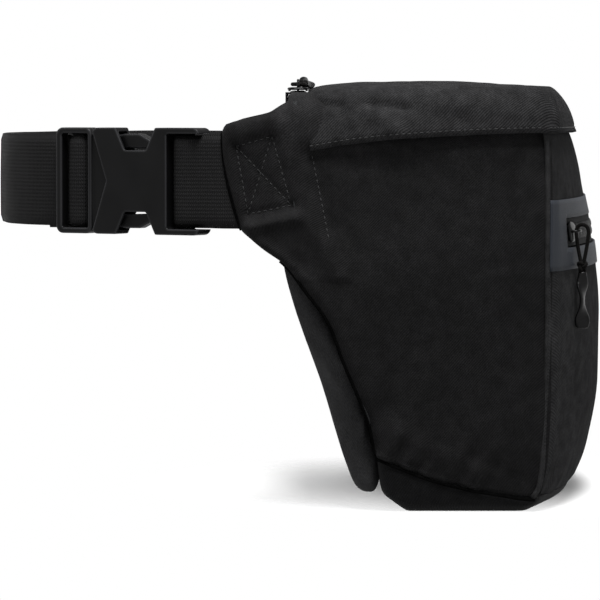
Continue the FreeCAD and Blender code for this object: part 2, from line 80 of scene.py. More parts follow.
def steps(first, last, count):
    """Evenly spaced values from first to last."""
    return [first + (last - first) * i / count for i in range(count + 1)]


def smoothstep(low, high, value):
    t = min(max((value - low) / (high - low), 0.0), 1.0)
    return t * t * (3 - 2 * t)


def signed_power(value, power):
    return math.copysign(abs(value) ** power, value)


def unevenness(point, size, depth, seed=0.0):
    """Soft random height in mm, with features about size mm across."""
    return depth * noise.noise(Vector(point) / size + Vector((seed, 0.7 * seed, 1.3 * seed)))


def segment_distance(point, start, end):
    run = (end[0] - start[0], end[1] - start[1])
    reach = (point[0] - start[0]) * run[0] + (point[1] - start[1]) * run[1]
    t = min(max(reach / (run[0] ** 2 + run[1] ** 2), 0.0), 1.0)
    return math.hypot(point[0] - start[0] - t * run[0], point[1] - start[1] - t * run[1])


def bulge(distance, width, depth=1.0):
    """Height of a soft ridge at some distance from its middle."""
    return depth * math.exp(-((distance / width) ** 2))


def crease(point, start, end, width, depth):
    """Height of a soft ridge along a line, or of a fold where depth is below zero."""
    return bulge(segment_distance(point, start, end), width, depth)


def creased(point, creases):
    return sum(crease(point, *one) for one in creases)


def new_object(name, mesh):
    made = bpy.data.objects.new(name, mesh)
    bpy.context.scene.collection.objects.link(made)
    return made


def mesh_object(name, points, faces, lay=None):
    """A mesh from points in mm. lay is each point's place along and across the cloth, in mm."""
    mesh = bpy.data.meshes.new(name)
    mesh.from_pydata([Vector(p) * MM for p in points], [], faces)
    if lay is not None:
        layer = mesh.attributes.new("lay", "FLOAT_VECTOR", "POINT")
        for item, (along, across) in zip(layer.data, lay):
            item.vector = (along, across, 0.0)
    mesh.validate()
    mesh.shade_smooth()
    return new_object(name, mesh)


def grid_faces(rows, columns, joined=False, skip=None):
    faces = []
    for r in range(rows - 1):
        for c in range(columns if joined else columns - 1):
            if skip and skip(r, c):
                continue
            d = (c + 1) % columns
            faces.append((r * columns + c, r * columns + d, (r + 1) * columns + d, (r + 1) * columns + c))
    return faces


def grid(name, rows, joined=False, skip=None, lay=None):
    """A sheet through rows of points, each row with the same number of them."""
    points = [p for row in rows for p in row]
    return mesh_object(name, points, grid_faces(len(rows), len(rows[0]), joined, skip), lay)


def apply_modifiers(obj):
    bpy.context.view_layer.update()
    evaluated = obj.evaluated_get(bpy.context.evaluated_depsgraph_get())
    mesh = bpy.data.meshes.new_from_object(evaluated)
    obj.modifiers.clear()
    obj.data = mesh
    return obj


def reworked(obj, change):
    """Change a mesh by change(work) and turn all its faces to agree."""
    work = bmesh.new()
    work.from_mesh(obj.data)
    change(work)
    bmesh.ops.recalc_face_normals(work, faces=work.faces)
    work.to_mesh(obj.data)
    work.free()
    return obj


def merged(obj, distance):
    """Join points closer than distance mm."""
    return reworked(obj, lambda work: bmesh.ops.remove_doubles(work, verts=work.verts, dist=distance * MM))


def fill_ends(work):
    bmesh.ops.holes_fill(work, edges=[e for e in work.edges if e.is_boundary], sides=0)


def closed(obj):
    """Fill a sheet's open ends."""
    return reworked(obj, fill_ends)


def thickened(obj, thickness, outward):
    """Give an open sheet its cloth's thickness, on the side away from outward(centre)."""
    total = 0.0
    for face in obj.data.polygons:
        total += face.area * face.normal.dot(Vector(outward(face.center / MM)))
    if total < 0:
        obj.data.flip_normals()
    solid = obj.modifiers.new("cloth", "SOLIDIFY")
    solid.thickness = thickness * MM
    solid.offset = -1.0
    solid.use_even_offset = False
    return apply_modifiers(obj)


def finish(obj, body, material, slot, replaces=()):
    """Give a piece its finish and its body, and the CAD nodes that it stands for."""
    obj.data.materials.clear()
    obj.data.materials.append(material)
    if body is not None:
        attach(obj, body)
    if replaces:
        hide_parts(*replaces)
    return obj


def tube(name, path, radius, sides=8, joined=False):
    """A round tube along a path of points in mm."""
    points = [Vector(p) for p in path]
    count = len(points)
    rows = []
    normal = None
    for i, place in enumerate(points):
        ahead = points[(i + 1) % count] if joined else points[min(i + 1, count - 1)]
        behind = points[(i - 1) % count] if joined else points[max(i - 1, 0)]
        along = (ahead - behind).normalized()
        if normal is None:
            normal = along.orthogonal().normalized()
        normal = (normal - along * normal.dot(along)).normalized()
        side = along.cross(normal)
        ring = []
        for k in range(sides):
            angle = 2 * math.pi * k / sides
            ring.append(place + (normal * math.cos(angle) + side * math.sin(angle)) * radius)
        rows.append(ring)
    faces = grid_faces(count, sides, True)
    if joined:
        last = (count - 1) * sides
        faces += [(last + k, last + (k + 1) % sides, (k + 1) % sides, k) for k in range(sides)]
    else:
        faces.append(tuple(reversed(range(sides))))
        faces.append(tuple((count - 1) * sides + k for k in range(sides)))
    return mesh_object(name, [p for ring in rows for p in ring], faces)


def joined(name, objects):
    """One object from several meshes."""
    work = bmesh.new()
    for obj in objects:
        work.from_mesh(obj.data)
        bpy.data.objects.remove(obj)
    mesh = bpy.data.meshes.new(name)
    work.to_mesh(mesh)
    work.free()
    mesh.shade_smooth()
    return new_object(name, mesh)


BEVEL_SEGMENTS = 3
BEVEL_ANGLE = math.radians(28.0)
FLAT_ANGLE = math.radians(1.0)


def softened(node, body, material, slot, width):
    """A copy of a CAD node that stands for it, with its edges bevelled width mm wide."""
    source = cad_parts[node]
    work = bmesh.new()
    work.from_mesh(source.data)
    bmesh.ops.remove_doubles(work, verts=work.verts, dist=1e-6)
    bmesh.ops.dissolve_limit(work, angle_limit=FLAT_ANGLE, verts=work.verts, edges=work.edges)
    mesh = bpy.data.meshes.new(node + "_soft")
    work.to_mesh(mesh)
    work.free()
    made = new_object(node + "_soft", mesh)
    bevel = made.modifiers.new("edge", "BEVEL")
    bevel.width = width * MM
    bevel.segments = BEVEL_SEGMENTS
    bevel.limit_method = "ANGLE"
    bevel.angle_limit = BEVEL_ANGLE
    made.modifiers.new("flat", "WEIGHTED_NORMAL").keep_sharp = True
    made.data.shade_smooth()
    apply_modifiers(made)
    return finish(made, body, material, slot, [node])


MOULD_VOXEL = 0.42
MOULD_ROUNDS = 4


def moulded_copy(node, body, material, slot, turn):
    """A finely meshed copy of a CAD node with its edges rounded, as a moulding's are.

    turn is the angle in plan between the piece's own length and the frame, so the mesh lies along it.
    """
    made = new_object(node + "_moulded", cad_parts[node].data.copy())
    made.data.transform(Matrix.Rotation(-turn, 4, "Z"))
    remesh = made.modifiers.new("even", "REMESH")
    remesh.mode = "VOXEL"
    remesh.voxel_size = MOULD_VOXEL * MM
    rounding = made.modifiers.new("rounding", "SMOOTH")
    rounding.factor = 0.5
    rounding.iterations = MOULD_ROUNDS
    apply_modifiers(made)
    made.data.transform(Matrix.Rotation(turn, 4, "Z"))
    made.data.shade_smooth()
    return finish(made, body, material, slot, [node])


# ---------------- materials


def feed(tree, socket, value):
    """Link an input to a socket, or set it to a number or colour."""
    if isinstance(value, bpy.types.NodeSocket):
        tree.links.new(value, socket)
    else:
        socket.default_value = value


def connect(tree, made, **sockets):
    """Set or link a node's inputs, each named with _ for a space."""
    for key, value in sockets.items():
        feed(tree, made.inputs[key.replace("_", " ")], value)


def node(tree, kind, settings=(), **sockets):
    """A shader node with its settings, and its inputs set or linked."""
    made = tree.nodes.new("ShaderNode" + kind)
    for key, value in dict(settings).items():
        setattr(made, key, value)
    connect(tree, made, **sockets)
    return made


def noisy(tree, place, scale, detail):
    """Soft noise with about scale features to the metre."""
    return node(tree, "TexNoise", Vector=place, Scale=scale, Detail=detail).outputs["Fac"]


def maths(tree, operation, *values):
    """The result of a Math node on sockets and numbers."""
    made = node(tree, "Math", {"operation": operation})
    for socket, value in zip(made.inputs, values):
        feed(tree, socket, value)
    return made.outputs["Value"]


def multiplied(tree, first, *others):
    """Colours multiplied together."""
    for other in others:
        mixed = node(tree, "MixRGB", {"blend_type": "MULTIPLY"}, Fac=1.0, Color1=first, Color2=other)
        first = mixed.outputs["Color"]
    return first


def between(tree, factor, low, high, dark, light):
    """Colour that runs from dark to light as factor goes from low to high."""
    ramp = node(tree, "ValToRGB", Fac=factor)
    for stop, place, colour in zip(ramp.color_ramp.elements, (low, high), (dark, light)):
        stop.position = place
        stop.color = (*colour, 1.0)
    return ramp.outputs["Color"]


def spread(tree, factor, low, high, start, end):
    """A number that runs from start to end as factor goes from low to high."""
    made = node(tree, "MapRange", Value=factor, From_Min=low, From_Max=high, To_Min=start, To_Max=end)
    return made.outputs["Result"]


def bumped(tree, *heights):
    """One bump from several (height, depth in mm) pairs, chained."""
    normal = None
    for height, depth in heights:
        bump = node(tree, "Bump", Height=height, Distance=depth * MM, Strength=1.0)
        if normal is not None:
            connect(tree, bump, Normal=normal)
        normal = bump.outputs["Normal"]
    return normal


def start_material(name):
    made = bpy.data.materials.new(name)
    made.use_nodes = True
    tree = made.node_tree
    shader = tree.nodes["Principled BSDF"]
    place = node(tree, "TexCoord").outputs["Object"]
    return made, tree, shader, place


def grey(level):
    return (level, level, level)


def lighter(colour, share):
    return tuple(channel * share for channel in colour)


def mottled(tree, factor, low, high, colour, swing):
    """A colour that swings a share darker and lighter as factor goes from low to high."""
    return between(tree, factor, low, high, lighter(colour, 1 - swing), lighter(colour, 1 + swing))


# Where the cloth that turns over the shoulder is painted lighter: painted light, as from a lamp above
LIT_SHOULDER_LOW = 143.0
LIT_SHOULDER_HIGH = 156.0
LIT_SHOULDER_IN = 7.0
LIT_SHOULDER_OUT = 12.5

WAVE_TURN = 2 * math.pi / 10.0  # a diagonal wave's scale for one line per metre along X + Y + Z


def twill(name, colour, pitch=0.8, depth=0.1, sheen=0.01, mottle=0.25, gloss=0.04, crown=1.0):
    """Woven cloth: fine diagonal lines pitch mm apart, mottled, and painted lighter by crown over its
    shoulder, where light from above falls.
    """
    made, tree, shader, place = start_material(name)
    scale = WAVE_TURN / (pitch * math.sqrt(2) * MM)
    wave = {"bands_direction": "DIAGONAL"}
    lines = node(tree, "TexWave", wave, Vector=place, Scale=scale, Distortion=0.6, Detail_Scale=0.6)
    line = lines.outputs["Fac"]
    yarn = noisy(tree, place, 1500.0, 2.0)
    cloudy = noisy(tree, place, 38.0, 5.0)
    rubbed = noisy(tree, place, 190.0, 3.0)
    tone = mottled(tree, cloudy, 0.35, 0.65, colour, 0.5 * mottle)
    streak = between(tree, line, 0.0, 1.0, grey(0.8), grey(1.14))
    fleck = between(tree, yarn, 0.3, 0.72, grey(0.75), grey(1.4))
    patchy = mottled(tree, rubbed, 0.32, 0.68, grey(1.0), 0.9 * mottle)
    worn_and_lit = multiplied(tree, tone, streak, fleck, patchy)
    # Painted light: over the shoulder the colour is multiplied up by crown, as light from above would
    # brighten it.
    if crown != 1.0:
        split = node(tree, "SeparateXYZ", Vector=place)
        over = spread(tree, split.outputs["Z"], LIT_SHOULDER_LOW * MM, LIT_SHOULDER_HIGH * MM, 0.0, 1.0)
        inside = spread(tree, split.outputs["Y"], LIT_SHOULDER_IN * MM, LIT_SHOULDER_OUT * MM, 1.0, 0.0)
        share = maths(tree, "MULTIPLY", over, inside)
        worn_and_lit = multiplied(tree, worn_and_lit, between(tree, share, 0.0, 1.0, grey(1.0), grey(crown)))
    rough = spread(tree, cloudy, 0.3, 0.7, 0.75, 0.87)
    normal = bumped(tree, (line, depth), (yarn, depth * 0.5))
    connect(tree, shader, Base_Color=worn_and_lit, Roughness=rough, Normal=normal)
    connect(tree, shader, Sheen_Weight=sheen, Sheen_Roughness=0.55, Specular_IOR_Level=gloss)
    return made


RIB_PITCH = 0.85
RIB_COLUMN = 1.5
RIB_DEPTH = 0.14


def ribbed(name, colour):
    """Woven strap: ribs across its run every RIB_PITCH mm, in columns RIB_COLUMN mm wide."""
    made, tree, shader, place = start_material(name)
    lay = node(tree, "Attribute", {"attribute_name": "lay"}).outputs["Vector"]
    split = node(tree, "SeparateXYZ", Vector=lay)
    column = maths(tree, "PINGPONG", split.outputs["Y"], RIB_COLUMN / 2)
    shifted = maths(tree, "MULTIPLY_ADD", column, 0.4, split.outputs["X"])
    rib = maths(tree, "SINE", maths(tree, "MULTIPLY", shifted, 2 * math.pi / RIB_PITCH))
    height = spread(tree, rib, -1.0, 1.0, 0.0, 1.0)
    hill = spread(tree, column, 0.0, RIB_COLUMN / 2, 0.0, 1.0)
    cloudy = noisy(tree, place, 60.0, 4.0)
    yarn = noisy(tree, place, 3000.0, 2.0)
    tone = between(tree, cloudy, 0.3, 0.7, lighter(colour, 0.82), lighter(colour, 1.2))
    woven = multiplied(tree, tone, between(tree, height, 0.0, 1.0, grey(0.72), grey(1.15)))
    rough = spread(tree, cloudy, 0.3, 0.7, 0.57, 0.70)
    normal = bumped(tree, (height, RIB_DEPTH), (hill, RIB_DEPTH * 0.8), (yarn, 0.05))
    connect(tree, shader, Base_Color=woven, Roughness=rough, Normal=normal, Specular_IOR_Level=0.05)
    return made


def moulded(name, colour, roughness=0.42, grain=0.02, wear_and_highlight=1.5, gloss=0.25):
    """Moulded plastic or painted metal: fine grain, uneven gloss, and edges lighter, partly as wear and
    partly as a painted highlight.
    """
    made, tree, shader, place = start_material(name)
    fine = noisy(tree, place, 2200.0, 3.0)
    cloudy = noisy(tree, place, 90.0, 5.0)
    convex = node(tree, "NewGeometry").outputs["Pointiness"]
    tone = mottled(tree, cloudy, 0.3, 0.7, colour, 0.12)
    # Convex edges lightened: partly wear, partly a painted highlight where the edges catch the light.
    worn_and_lit = multiplied(tree, tone, between(tree, convex, 0.505, 0.54, grey(1.0), grey(wear_and_highlight)))
    rough = spread(tree, cloudy, 0.3, 0.7, roughness - 0.06, roughness + 0.08)
    normal = bumped(tree, (fine, grain))
    connect(tree, shader, Base_Color=worn_and_lit, Roughness=rough, Normal=normal, Specular_IOR_Level=gloss)
    return made


def beaded_film(name, colour):
    """Reflective film: a fine grey grain with a broad gloss."""
    made, tree, shader, place = start_material(name)
    beads = node(tree, "TexVoronoi", Vector=place, Scale=2400.0).outputs["Distance"]
    tone = mottled(tree, noisy(tree, place, 45.0, 4.0), 0.3, 0.7, colour, 0.1)
    rough = spread(tree, beads, 0.0, 1.0, 0.42, 0.6)
    normal = bumped(tree, (beads, 0.03))
    connect(tree, shader, Base_Color=tone, Roughness=rough, Normal=normal, Specular_IOR_Level=0.03)
    return made


# CLOTH paints its shoulder 1.8 times lighter, as painted light from above.
CLOTH = twill("cloth", (0.0052, 0.0051, 0.0053), crown=1.8)
# Painted light: the sides' cloth with its gloss taken off and its colour made about three times lighter, in
# place of the light the front catches.
LIT_FRONT_CLOTH = twill("front cloth", (0.0155, 0.0155, 0.0159), sheen=0.0, gloss=0.003)
# Painted light: the hood's cloth is coloured lighter than the sides' cloth because it faces up towards the
# light above.
LIT_HOOD_CLOTH = twill("hood cloth", (0.0135, 0.0134, 0.0138), pitch=0.95, depth=0.16, sheen=0.0, gloss=0.01)
BASE_CLOTH = twill("base cloth", (0.0036, 0.0036, 0.0038))
PAD_CLOTH = twill("pad cloth", (0.0145, 0.0145, 0.0150), depth=0.05, mottle=0.12)
INNER_CLOTH = twill("inner cloth", (0.014, 0.0145, 0.015), depth=0.05)
TAPE_CLOTH = twill("tape cloth", (0.009, 0.009, 0.0095), depth=0.06)
THREAD = twill("thread", (0.0068, 0.0068, 0.0072), pitch=0.5, depth=0.04, sheen=0.05, gloss=0.3)
# Painted shade: near-black tubes laid in the crevices at seams, where shade falls.
PAINTED_SEAM_SHADE = twill("painted_seam_shade", (0.0016, 0.0016, 0.0016), pitch=0.5, depth=0.04, sheen=0.0, gloss=0.0)
CORD_SLEEVE = twill("cord sleeve", (0.0015, 0.0013, 0.0012), pitch=0.7, depth=0.12, gloss=0.06)
STRAP_WEAVE = ribbed("strap weave", (0.0057, 0.0056, 0.0058))
# Painted highlight: the buckle's convex edges are made seven times lighter, as chamfers catching the light.
ACETAL = moulded("acetal", (0.0018, 0.0018, 0.00195), roughness=0.42, wear_and_highlight=7.0, gloss=0.09)
ENAMEL = moulded("enamel", (0.0012, 0.0012, 0.0013), roughness=0.3, grain=0.006, wear_and_highlight=1.6, gloss=0.10)
COIL_PLASTIC = moulded("coil plastic", (0.005, 0.005, 0.0052), roughness=0.35, gloss=0.2)
SOFT_RUBBER = moulded("soft rubber", (0.0013, 0.0013, 0.0014), roughness=0.3, grain=0.012, gloss=0.14)
BOARD = moulded("board", (0.02, 0.02, 0.021), roughness=0.6)
FILM = beaded_film("reflective film", (0.0175, 0.0195, 0.0235))


# ---------------- stitches


def surface_of(obj):
    """The surface of a piece in mm, for laying stitches on."""
    points = [v.co / MM for v in obj.data.vertices]
    return BVHTree.FromPolygons(points, [list(face.vertices) for face in obj.data.polygons])


THROW = 60.0  # how far outside a surface the search for it starts


def laid_on(surface, points, direction):
    """Points thrown along a direction on to a surface, with the surface's normals."""
    laid = []
    aim = Vector(direction).normalized()
    for point in points:
        hit, normal, _, _ = surface.ray_cast(Vector(point) - aim * THROW, aim)
        if hit is not None:
            laid.append((hit, normal if normal.dot(aim) < 0 else -normal))
    return laid


def evenly(points, pitch):
    """Points every pitch mm along a broken line."""
    spots = []
    left = 0.0
    for start, end in zip(points, points[1:]):
        start, end = Vector(start), Vector(end)
        length = (end - start).length
        while left < length:
            spots.append(start + (end - start) * (left / length))
            left += pitch
        left -= length
    return spots


STITCH_PITCH = 2.5
STITCH_LENGTH = 1.5
STITCH_RADIUS = 0.24
STITCH_SHARES = (0.0, 0.12, 0.5, 0.88, 1.0)
STITCH_SIDES = 6


def stitches(name, runs, body):
    """Sewn lines: each run is (surface, points, direction), and each stitch a short raised thread."""
    points = []
    faces = []
    last = (len(STITCH_SHARES) - 1) * STITCH_SIDES
    thread = grid_faces(len(STITCH_SHARES), STITCH_SIDES, True)
    thread.append(tuple(reversed(range(STITCH_SIDES))))
    thread.append(tuple(range(last, last + STITCH_SIDES)))
    for surface, line, direction in runs:
        laid = laid_on(surface, evenly(line, STITCH_PITCH), direction)
        for (here, up), (there, _) in zip(laid, laid[1:]):
            if (there - here).length > 2 * STITCH_PITCH:
                continue
            along = (there - here).normalized()
            side = along.cross(up).normalized()
            base = len(points)
            for share in STITCH_SHARES:
                swell = math.sin(math.pi * (0.12 + 0.76 * share)) ** 0.5
                sunk = 0.28 * (2 * share - 1) ** 4
                centre = here + along * STITCH_LENGTH * share + up * (0.1 - sunk)
                for k in range(STITCH_SIDES):
                    turn = 2 * math.pi * k / STITCH_SIDES
                    ring = side * math.cos(turn) + up * math.sin(turn)
                    points.append(centre + ring * STITCH_RADIUS * swell)
            faces += [tuple(base + i for i in face) for face in thread]
    return finish(mesh_object(name, points, faces), body, THREAD, "shell_fabric")


# ---------------- case

# The case's outline by height: half its width, its back, and its front at the side and in the middle
half_width = profile(
    (0, 121), (3, 125), (8, 127), (22, 130), (50, 134), (76, 137.5), (102, 139.8), (128, 140), (175, 140)
)
back_line = profile(
    (0, -43), (3, -39), (8, -33.5), (22, -31), (50, -23), (76, -12.5), (102, -1), (128, 3), (175, 3)
)
front_side = profile(
    (0, -92), (3, -96), (8, -98.5), (22, -101), (50, -102), (128, -102), (150, -101.5), (175, -96)
)
front_middle = profile(
    (0, -108), (3, -116.5), (8, -120), (22, -125), (50, -129.3), (76, -129.6), (102, -128), (128, -122.8),
    (150, -117.5), (175, -103),
)

# The side's edges: the bottom seam's height by Y, and the rear edge with its wing by height
seam_height = profile(
    (-140, 5.0), (-95, 5.4), (-81, 7.4), (-69, 9.5), (-55, 13.1), (-40, 18.7), (-31, 22.4)
)
rear_edge = profile(
    (5.0, -96), (7.4, -81), (9.5, -69), (13.1, -55), (18.7, -40), (22.4, -31.5), (37, -28), (47, -24),
    (61, -18), (77, -12), (91, -2), (101.8, 6.5), (107.5, 14.5), (111.5, 19.4), (116.4, 24.2),
    (154.3, 31.5), (157.9, 30.3), (162.9, 12.9), (165.6, 8.5), (168.0, 4.8), (171.4, 3.6),
)
CLOTH_THICKNESS = 1.8
FILM_THICKNESS = 0.7
CASE_LOW = 5.2
SHOULDER_START = 159.0
SHOULDER_HEIGHT = 12.8
SHOULDER_RUN = 12.0
PANEL_TOP = 171.3

# The box and cross sewn through the wing, as (Y, Z) corners
BOX_CORNERS = [(25.8, 149.4), (11.3, 153.5), (3.6, 125.6), (21.0, 122.0)]
BOX_LINES = [(BOX_CORNERS[a], BOX_CORNERS[b]) for a, b in ((0, 1), (1, 2), (2, 3), (3, 0), (0, 2), (1, 3))]

# The line sewn down the wing's root
ROOT_LINE = ((-4.8, 145.8), (-8.9, 125.6), (-12.1, 109.5))

# Soft ridges in the side's cloth, and folds where the depth is below zero: start, end, width and depth
SIDE_CREASES = (
    ((-38, 34), (-78, 15.5), 4.0, 0.9),
    ((-52, 30), (-92, 13), 3.2, -0.5),
    ((-6.0, 147.0), (-40.0, 141.0), 6.0, -1.5),
)
WING_CREASES = (
    ((20.0, 116.6), (2.5, 120.4), 2.4, 2.6),
    ((24.0, 155.0), (10.0, 159.0), 5.0, 2.0),
    ((-4.0, 146.0), (-12.0, 118.0), 4.5, -1.4),
    ((-2.0, 121.0), (-16.0, 96.0), 4.0, 1.3),
    ((15.0, 108.5), (-6.0, 92.0), 4.0, 1.3),
    ((2.0, 104.0), (-12.0, 84.0), 3.2, -1.0),
)


def front_y(x, z):
    """The case's arched front."""
    half = half_width(z)
    rise = front_side(z) - front_middle(z)
    radius = (half * half + rise * rise) / (2 * rise)
    return front_middle(z) + radius - math.sqrt(max(radius * radius - x * x, 0.0))


def shoulder(z):
    """How far the side has turned in over its top edge."""
    rise = min(max((z - SHOULDER_START) / SHOULDER_HEIGHT, 0.0), 1.0)
    return SHOULDER_RUN * (1 - (1 - rise**2.4) ** (1 / 2.4))


def side_height(y, z, seed):
    """How far the side's cloth stands out from the flat, in mm."""
    slope = rear_edge(z + 0.5) - rear_edge(z - 0.5)
    to_rear = (rear_edge(z) - y) / math.hypot(1.0, slope)
    to_front = y - front_side(z)
    height = unevenness((y, z, 0), 46.0, 1.3, seed) + unevenness((y, z, 0), 17.0, 0.35, seed + 4)
    if z < 101.0:
        height -= bulge(to_rear, 2.2, 1.5)
    else:
        height -= 1.6 * max(1 - to_rear / 2.6, 0.0) ** 2
    height -= bulge(to_front, 4.5, 1.6)

    # Small gathers that run off the bottom seam
    over_seam = z - seam_height(y)
    if z < 60:
        gather = unevenness((y + 0.55 * z, 0.12 * z, 3), 7.5, 3.0, seed)
        height += gather * bulge(over_seam - 5, 13.0) * smoothstep(-100, -70, y)
    if over_seam > 0:
        height += bulge(over_seam - 1.4, 1.1, 0.9)

    # The wing: sewn down along the box and cross, full between the lines
    if y > -25 and z > 95:
        for start, end in BOX_LINES:
            height += crease((y, z), start, end, 1.5, -0.75)
        height += creased((y, z), WING_CREASES)
    return height + creased((y, z), SIDE_CREASES)


def side_panel(side, name, seed):
    """One side of the case with its wing, from the bottom seam up to the shoulder."""
    heights = steps(CASE_LOW, 24.0, 26) + steps(24.0, 100.0, 56)[1:] + steps(100.0, PANEL_TOP, 66)[1:]
    rows = []
    for z in heights:
        low, high = front_side(z), rear_edge(z)
        row = []
        for share in steps(0.0, 1.0, 110):
            bunched = share + 0.06 * math.sin(2 * math.pi * share) / math.pi
            y = low + (high - low) * bunched
            tucked = smoothstep(4.0, 16.0, -y) * smoothstep(148.0, 157.0, z)
            x = half_width(z) - shoulder(z) + side_height(y, z, seed) - 2.6 * tucked
            row.append((side * x, y, z - 4.0 * tucked * smoothstep(157.0, 171.0, z)))
        rows.append(row)
    return thickened(grid(name, rows), CLOTH_THICKNESS, lambda p: (side, 0, 0))


WINDOW_LOW = 107.7
WINDOW_HIGH = 119.9
WINDOW_SHARE = 121.0 / 140.0
SHEET_PITCH = 1.8


def front_depth(x, z):
    """How far the front's cloth stands out, in mm."""
    height = unevenness((x, z, 0), 55.0, 1.0, 2.0) + unevenness((x, z, 0), 19.0, 0.3, 9.0)
    to_side = half_width(z) - abs(x)
    height -= bulge(to_side, 5.0, 1.5) + bulge(z - CASE_LOW, 2.4, 1.2)
    if z < 40:
        height += unevenness((x, 0.2 * z, 5), 9.0, 1.2, 6.0) * bulge(z - 9, 10.0)
    calm = smoothstep(88, 98, z) * (1 - smoothstep(129, 139, z))
    return height * (1 - 0.8 * calm) if to_side > 8 else height


def front_sheet(name, low, high, lift, edge):
    """Part of the front between two heights, lifted off the cloth, with the zip's window cut out."""
    under = steps(low, WINDOW_LOW, max(int((WINDOW_LOW - low) / SHEET_PITCH), 4))
    beside = steps(WINDOW_LOW, WINDOW_HIGH, 6)[1:]
    over = steps(WINDOW_HIGH, high, max(int((high - WINDOW_HIGH) / SHEET_PITCH), 3))[1:]
    first = len(under) - 1
    last = first + len(beside)
    inner = steps(-WINDOW_SHARE, WINDOW_SHARE, 110)
    outer = steps(WINDOW_SHARE, edge, 12)[1:]
    shares = [-s for s in reversed(outer)] + inner + outer
    rows = []
    for z in under + beside + over:
        across = [share * half_width(z) for share in shares]
        rows.append([(x, front_y(x, z) - front_depth(x, z) - lift, z) for x in across])

    def in_window(r, c):
        return first <= r < last and len(outer) <= c < len(outer) + len(inner) - 1

    return grid(name, rows, skip=in_window)


RING_Z = 3.0
BASE_Y = -67.0


def plan_ring():
    """The case's plan at RING_Z: along its front, down one side, along its back and up the other side."""
    half, fore, rear = half_width(RING_Z), front_side(RING_Z), back_line(RING_Z)
    corners = [(share * half, front_y(share * half, RING_Z)) for share in steps(-1.0, 1.0, 60)]
    corners += [(half, y) for y in steps(fore, rear, 30)[1:]]
    corners += [(share * half, rear) for share in steps(1.0, -1.0, 60)[1:]]
    return corners + [(-half, y) for y in steps(rear, fore, 30)[1:-1]]


def bottom_point(corner, share):
    """A point of the bottom panel's wall: share 0 is the base's edge and 1 the bottom seam."""
    ring_x, ring_y = corner
    half, fore, rear = half_width(RING_Z), front_side(RING_Z), back_line(RING_Z)

    def at_height(z):
        x = ring_x * half_width(z) / half
        if ring_y >= rear - 0.5:
            return Vector((x, back_line(z), z))
        if ring_y < fore - 0.5 or abs(ring_x) < half - 0.5:
            return Vector((x, front_y(x, z), z))
        t = (ring_y - fore) / (rear - fore)
        return Vector((x, front_side(z) + t * (back_line(z) - front_side(z)), z))

    top = seam_height(ring_y)
    for _ in range(12):
        top = 0.5 * top + 0.5 * seam_height(at_height(top).y)
    return at_height((top + 0.8) * share)


def bottom_panel():
    """The cloth under the bottom seam: its wall, its turn and the base it stands on."""
    ring = plan_ring()
    rows = []
    for share in steps(1.0, 0.0, 14):
        row = []
        for corner in ring:
            place = bottom_point(corner, share)
            inward = Vector((-place.x, -65.0 - place.y, 0)).normalized()
            sink = bulge((1 - share) * seam_height(corner[1]), 2.2, 1.3)
            soft = unevenness(place, 20.0, 0.8, 3.0) * share
            row.append(place + inward * (sink + soft + 0.25))
        rows.append(row)
    middle = Vector((0, BASE_Y, 0))
    edge = [Vector((p.x, p.y, 0)) for p in rows[-1]]
    for share in steps(0.985, 0.02, 14):
        lift = middle + Vector((0, 0, 1.4 * smoothstep(0.0, 0.25, 1 - share)))
        rows.append([lift + (p - middle) * share for p in edge])
    for _ in range(3):
        rows = [smoothed_ring(row) for row in rows]
    panel = grid("bottom_cloth", rows, joined=True)
    return thickened(panel, CLOTH_THICKNESS, lambda p: (p.x, p.y - BASE_Y, p.z - 60.0))


def smoothed_ring(row):
    count = len(row)
    return [row[i] * 0.5 + (row[i - 1] + row[(i + 1) % count]) * 0.25 for i in range(count)]


def eased(line, passes):
    """An open line with its corners rounded off and its ends kept."""
    for _ in range(passes):
        inner = [line[i] * 0.5 + (line[i - 1] + line[i + 1]) * 0.25 for i in range(1, len(line) - 1)]
        line = [line[0]] + inner + [line[-1]]
    return line


def back_wall():
    """The case's own rear wall behind the padding."""
    rows = []
    for z in steps(22.6, 167.5, 60):
        across = [share * (half_width(z) - 1.2) for share in steps(-1.0, 1.0, 60)]
        rows.append([(x, back_line(z) - 0.3 + unevenness((x, z, 0), 40.0, 0.25, 5.0), z) for x in across])
    return thickened(grid("back_wall", rows), CLOTH_THICKNESS, lambda p: (0, 1, 0))


# ---------------- padding


CLOTH_FRAMES = 20
CLOTH_STIFFNESS = 20.0


def puffed(obj, hold, voxel, pressure, limit):
    """Swell a closed form as stuffed cloth by simulation. hold(start, moved) keeps it in its room."""
    remesh = obj.modifiers.new("even", "REMESH")
    remesh.mode = "VOXEL"
    remesh.voxel_size = voxel * MM
    apply_modifiers(obj)
    starts = [v.co.copy() for v in obj.data.vertices]
    cloth = obj.modifiers.new("stuffing", "CLOTH")
    cloth.settings.use_pressure = True
    cloth.settings.uniform_pressure_force = pressure
    cloth.settings.effector_weights.gravity = 0.0
    cloth.settings.tension_stiffness = CLOTH_STIFFNESS
    cloth.point_cache.frame_end = CLOTH_FRAMES
    for number in range(1, CLOTH_FRAMES + 1):
        bpy.context.scene.frame_set(number)
    apply_modifiers(obj)
    bpy.context.scene.frame_set(1)
    for vertex, start in zip(obj.data.vertices, starts):
        move = vertex.co - start
        if move.length > limit * MM:
            move *= limit * MM / move.length
        vertex.co = hold(start, start + move)
    finer = obj.modifiers.new("finer", "SUBSURF")
    finer.levels = 1
    finer.render_levels = 1
    apply_modifiers(obj)
    obj.data.shade_smooth()
    return obj


# The pad's rear face by height
pad_outer = profile(
    (5.0, -33.0), (5.6, -28.0), (8.0, -24.6), (13.0, -21.8), (48.0, -10.6), (104.0, 6.6), (128.0, 9.0),
    (150.0, 8.8), (152.5, 6.0),
)
PAD_LOW = 5.4
PAD_HIGH = 151.5
HEEL_TOP = 34.0  # under this the pad is held down to its heel
WING_LOW = 104.5
WING_HIGH = 163.0
WING_MIDDLE = 133.2
TIP_X = 138.3


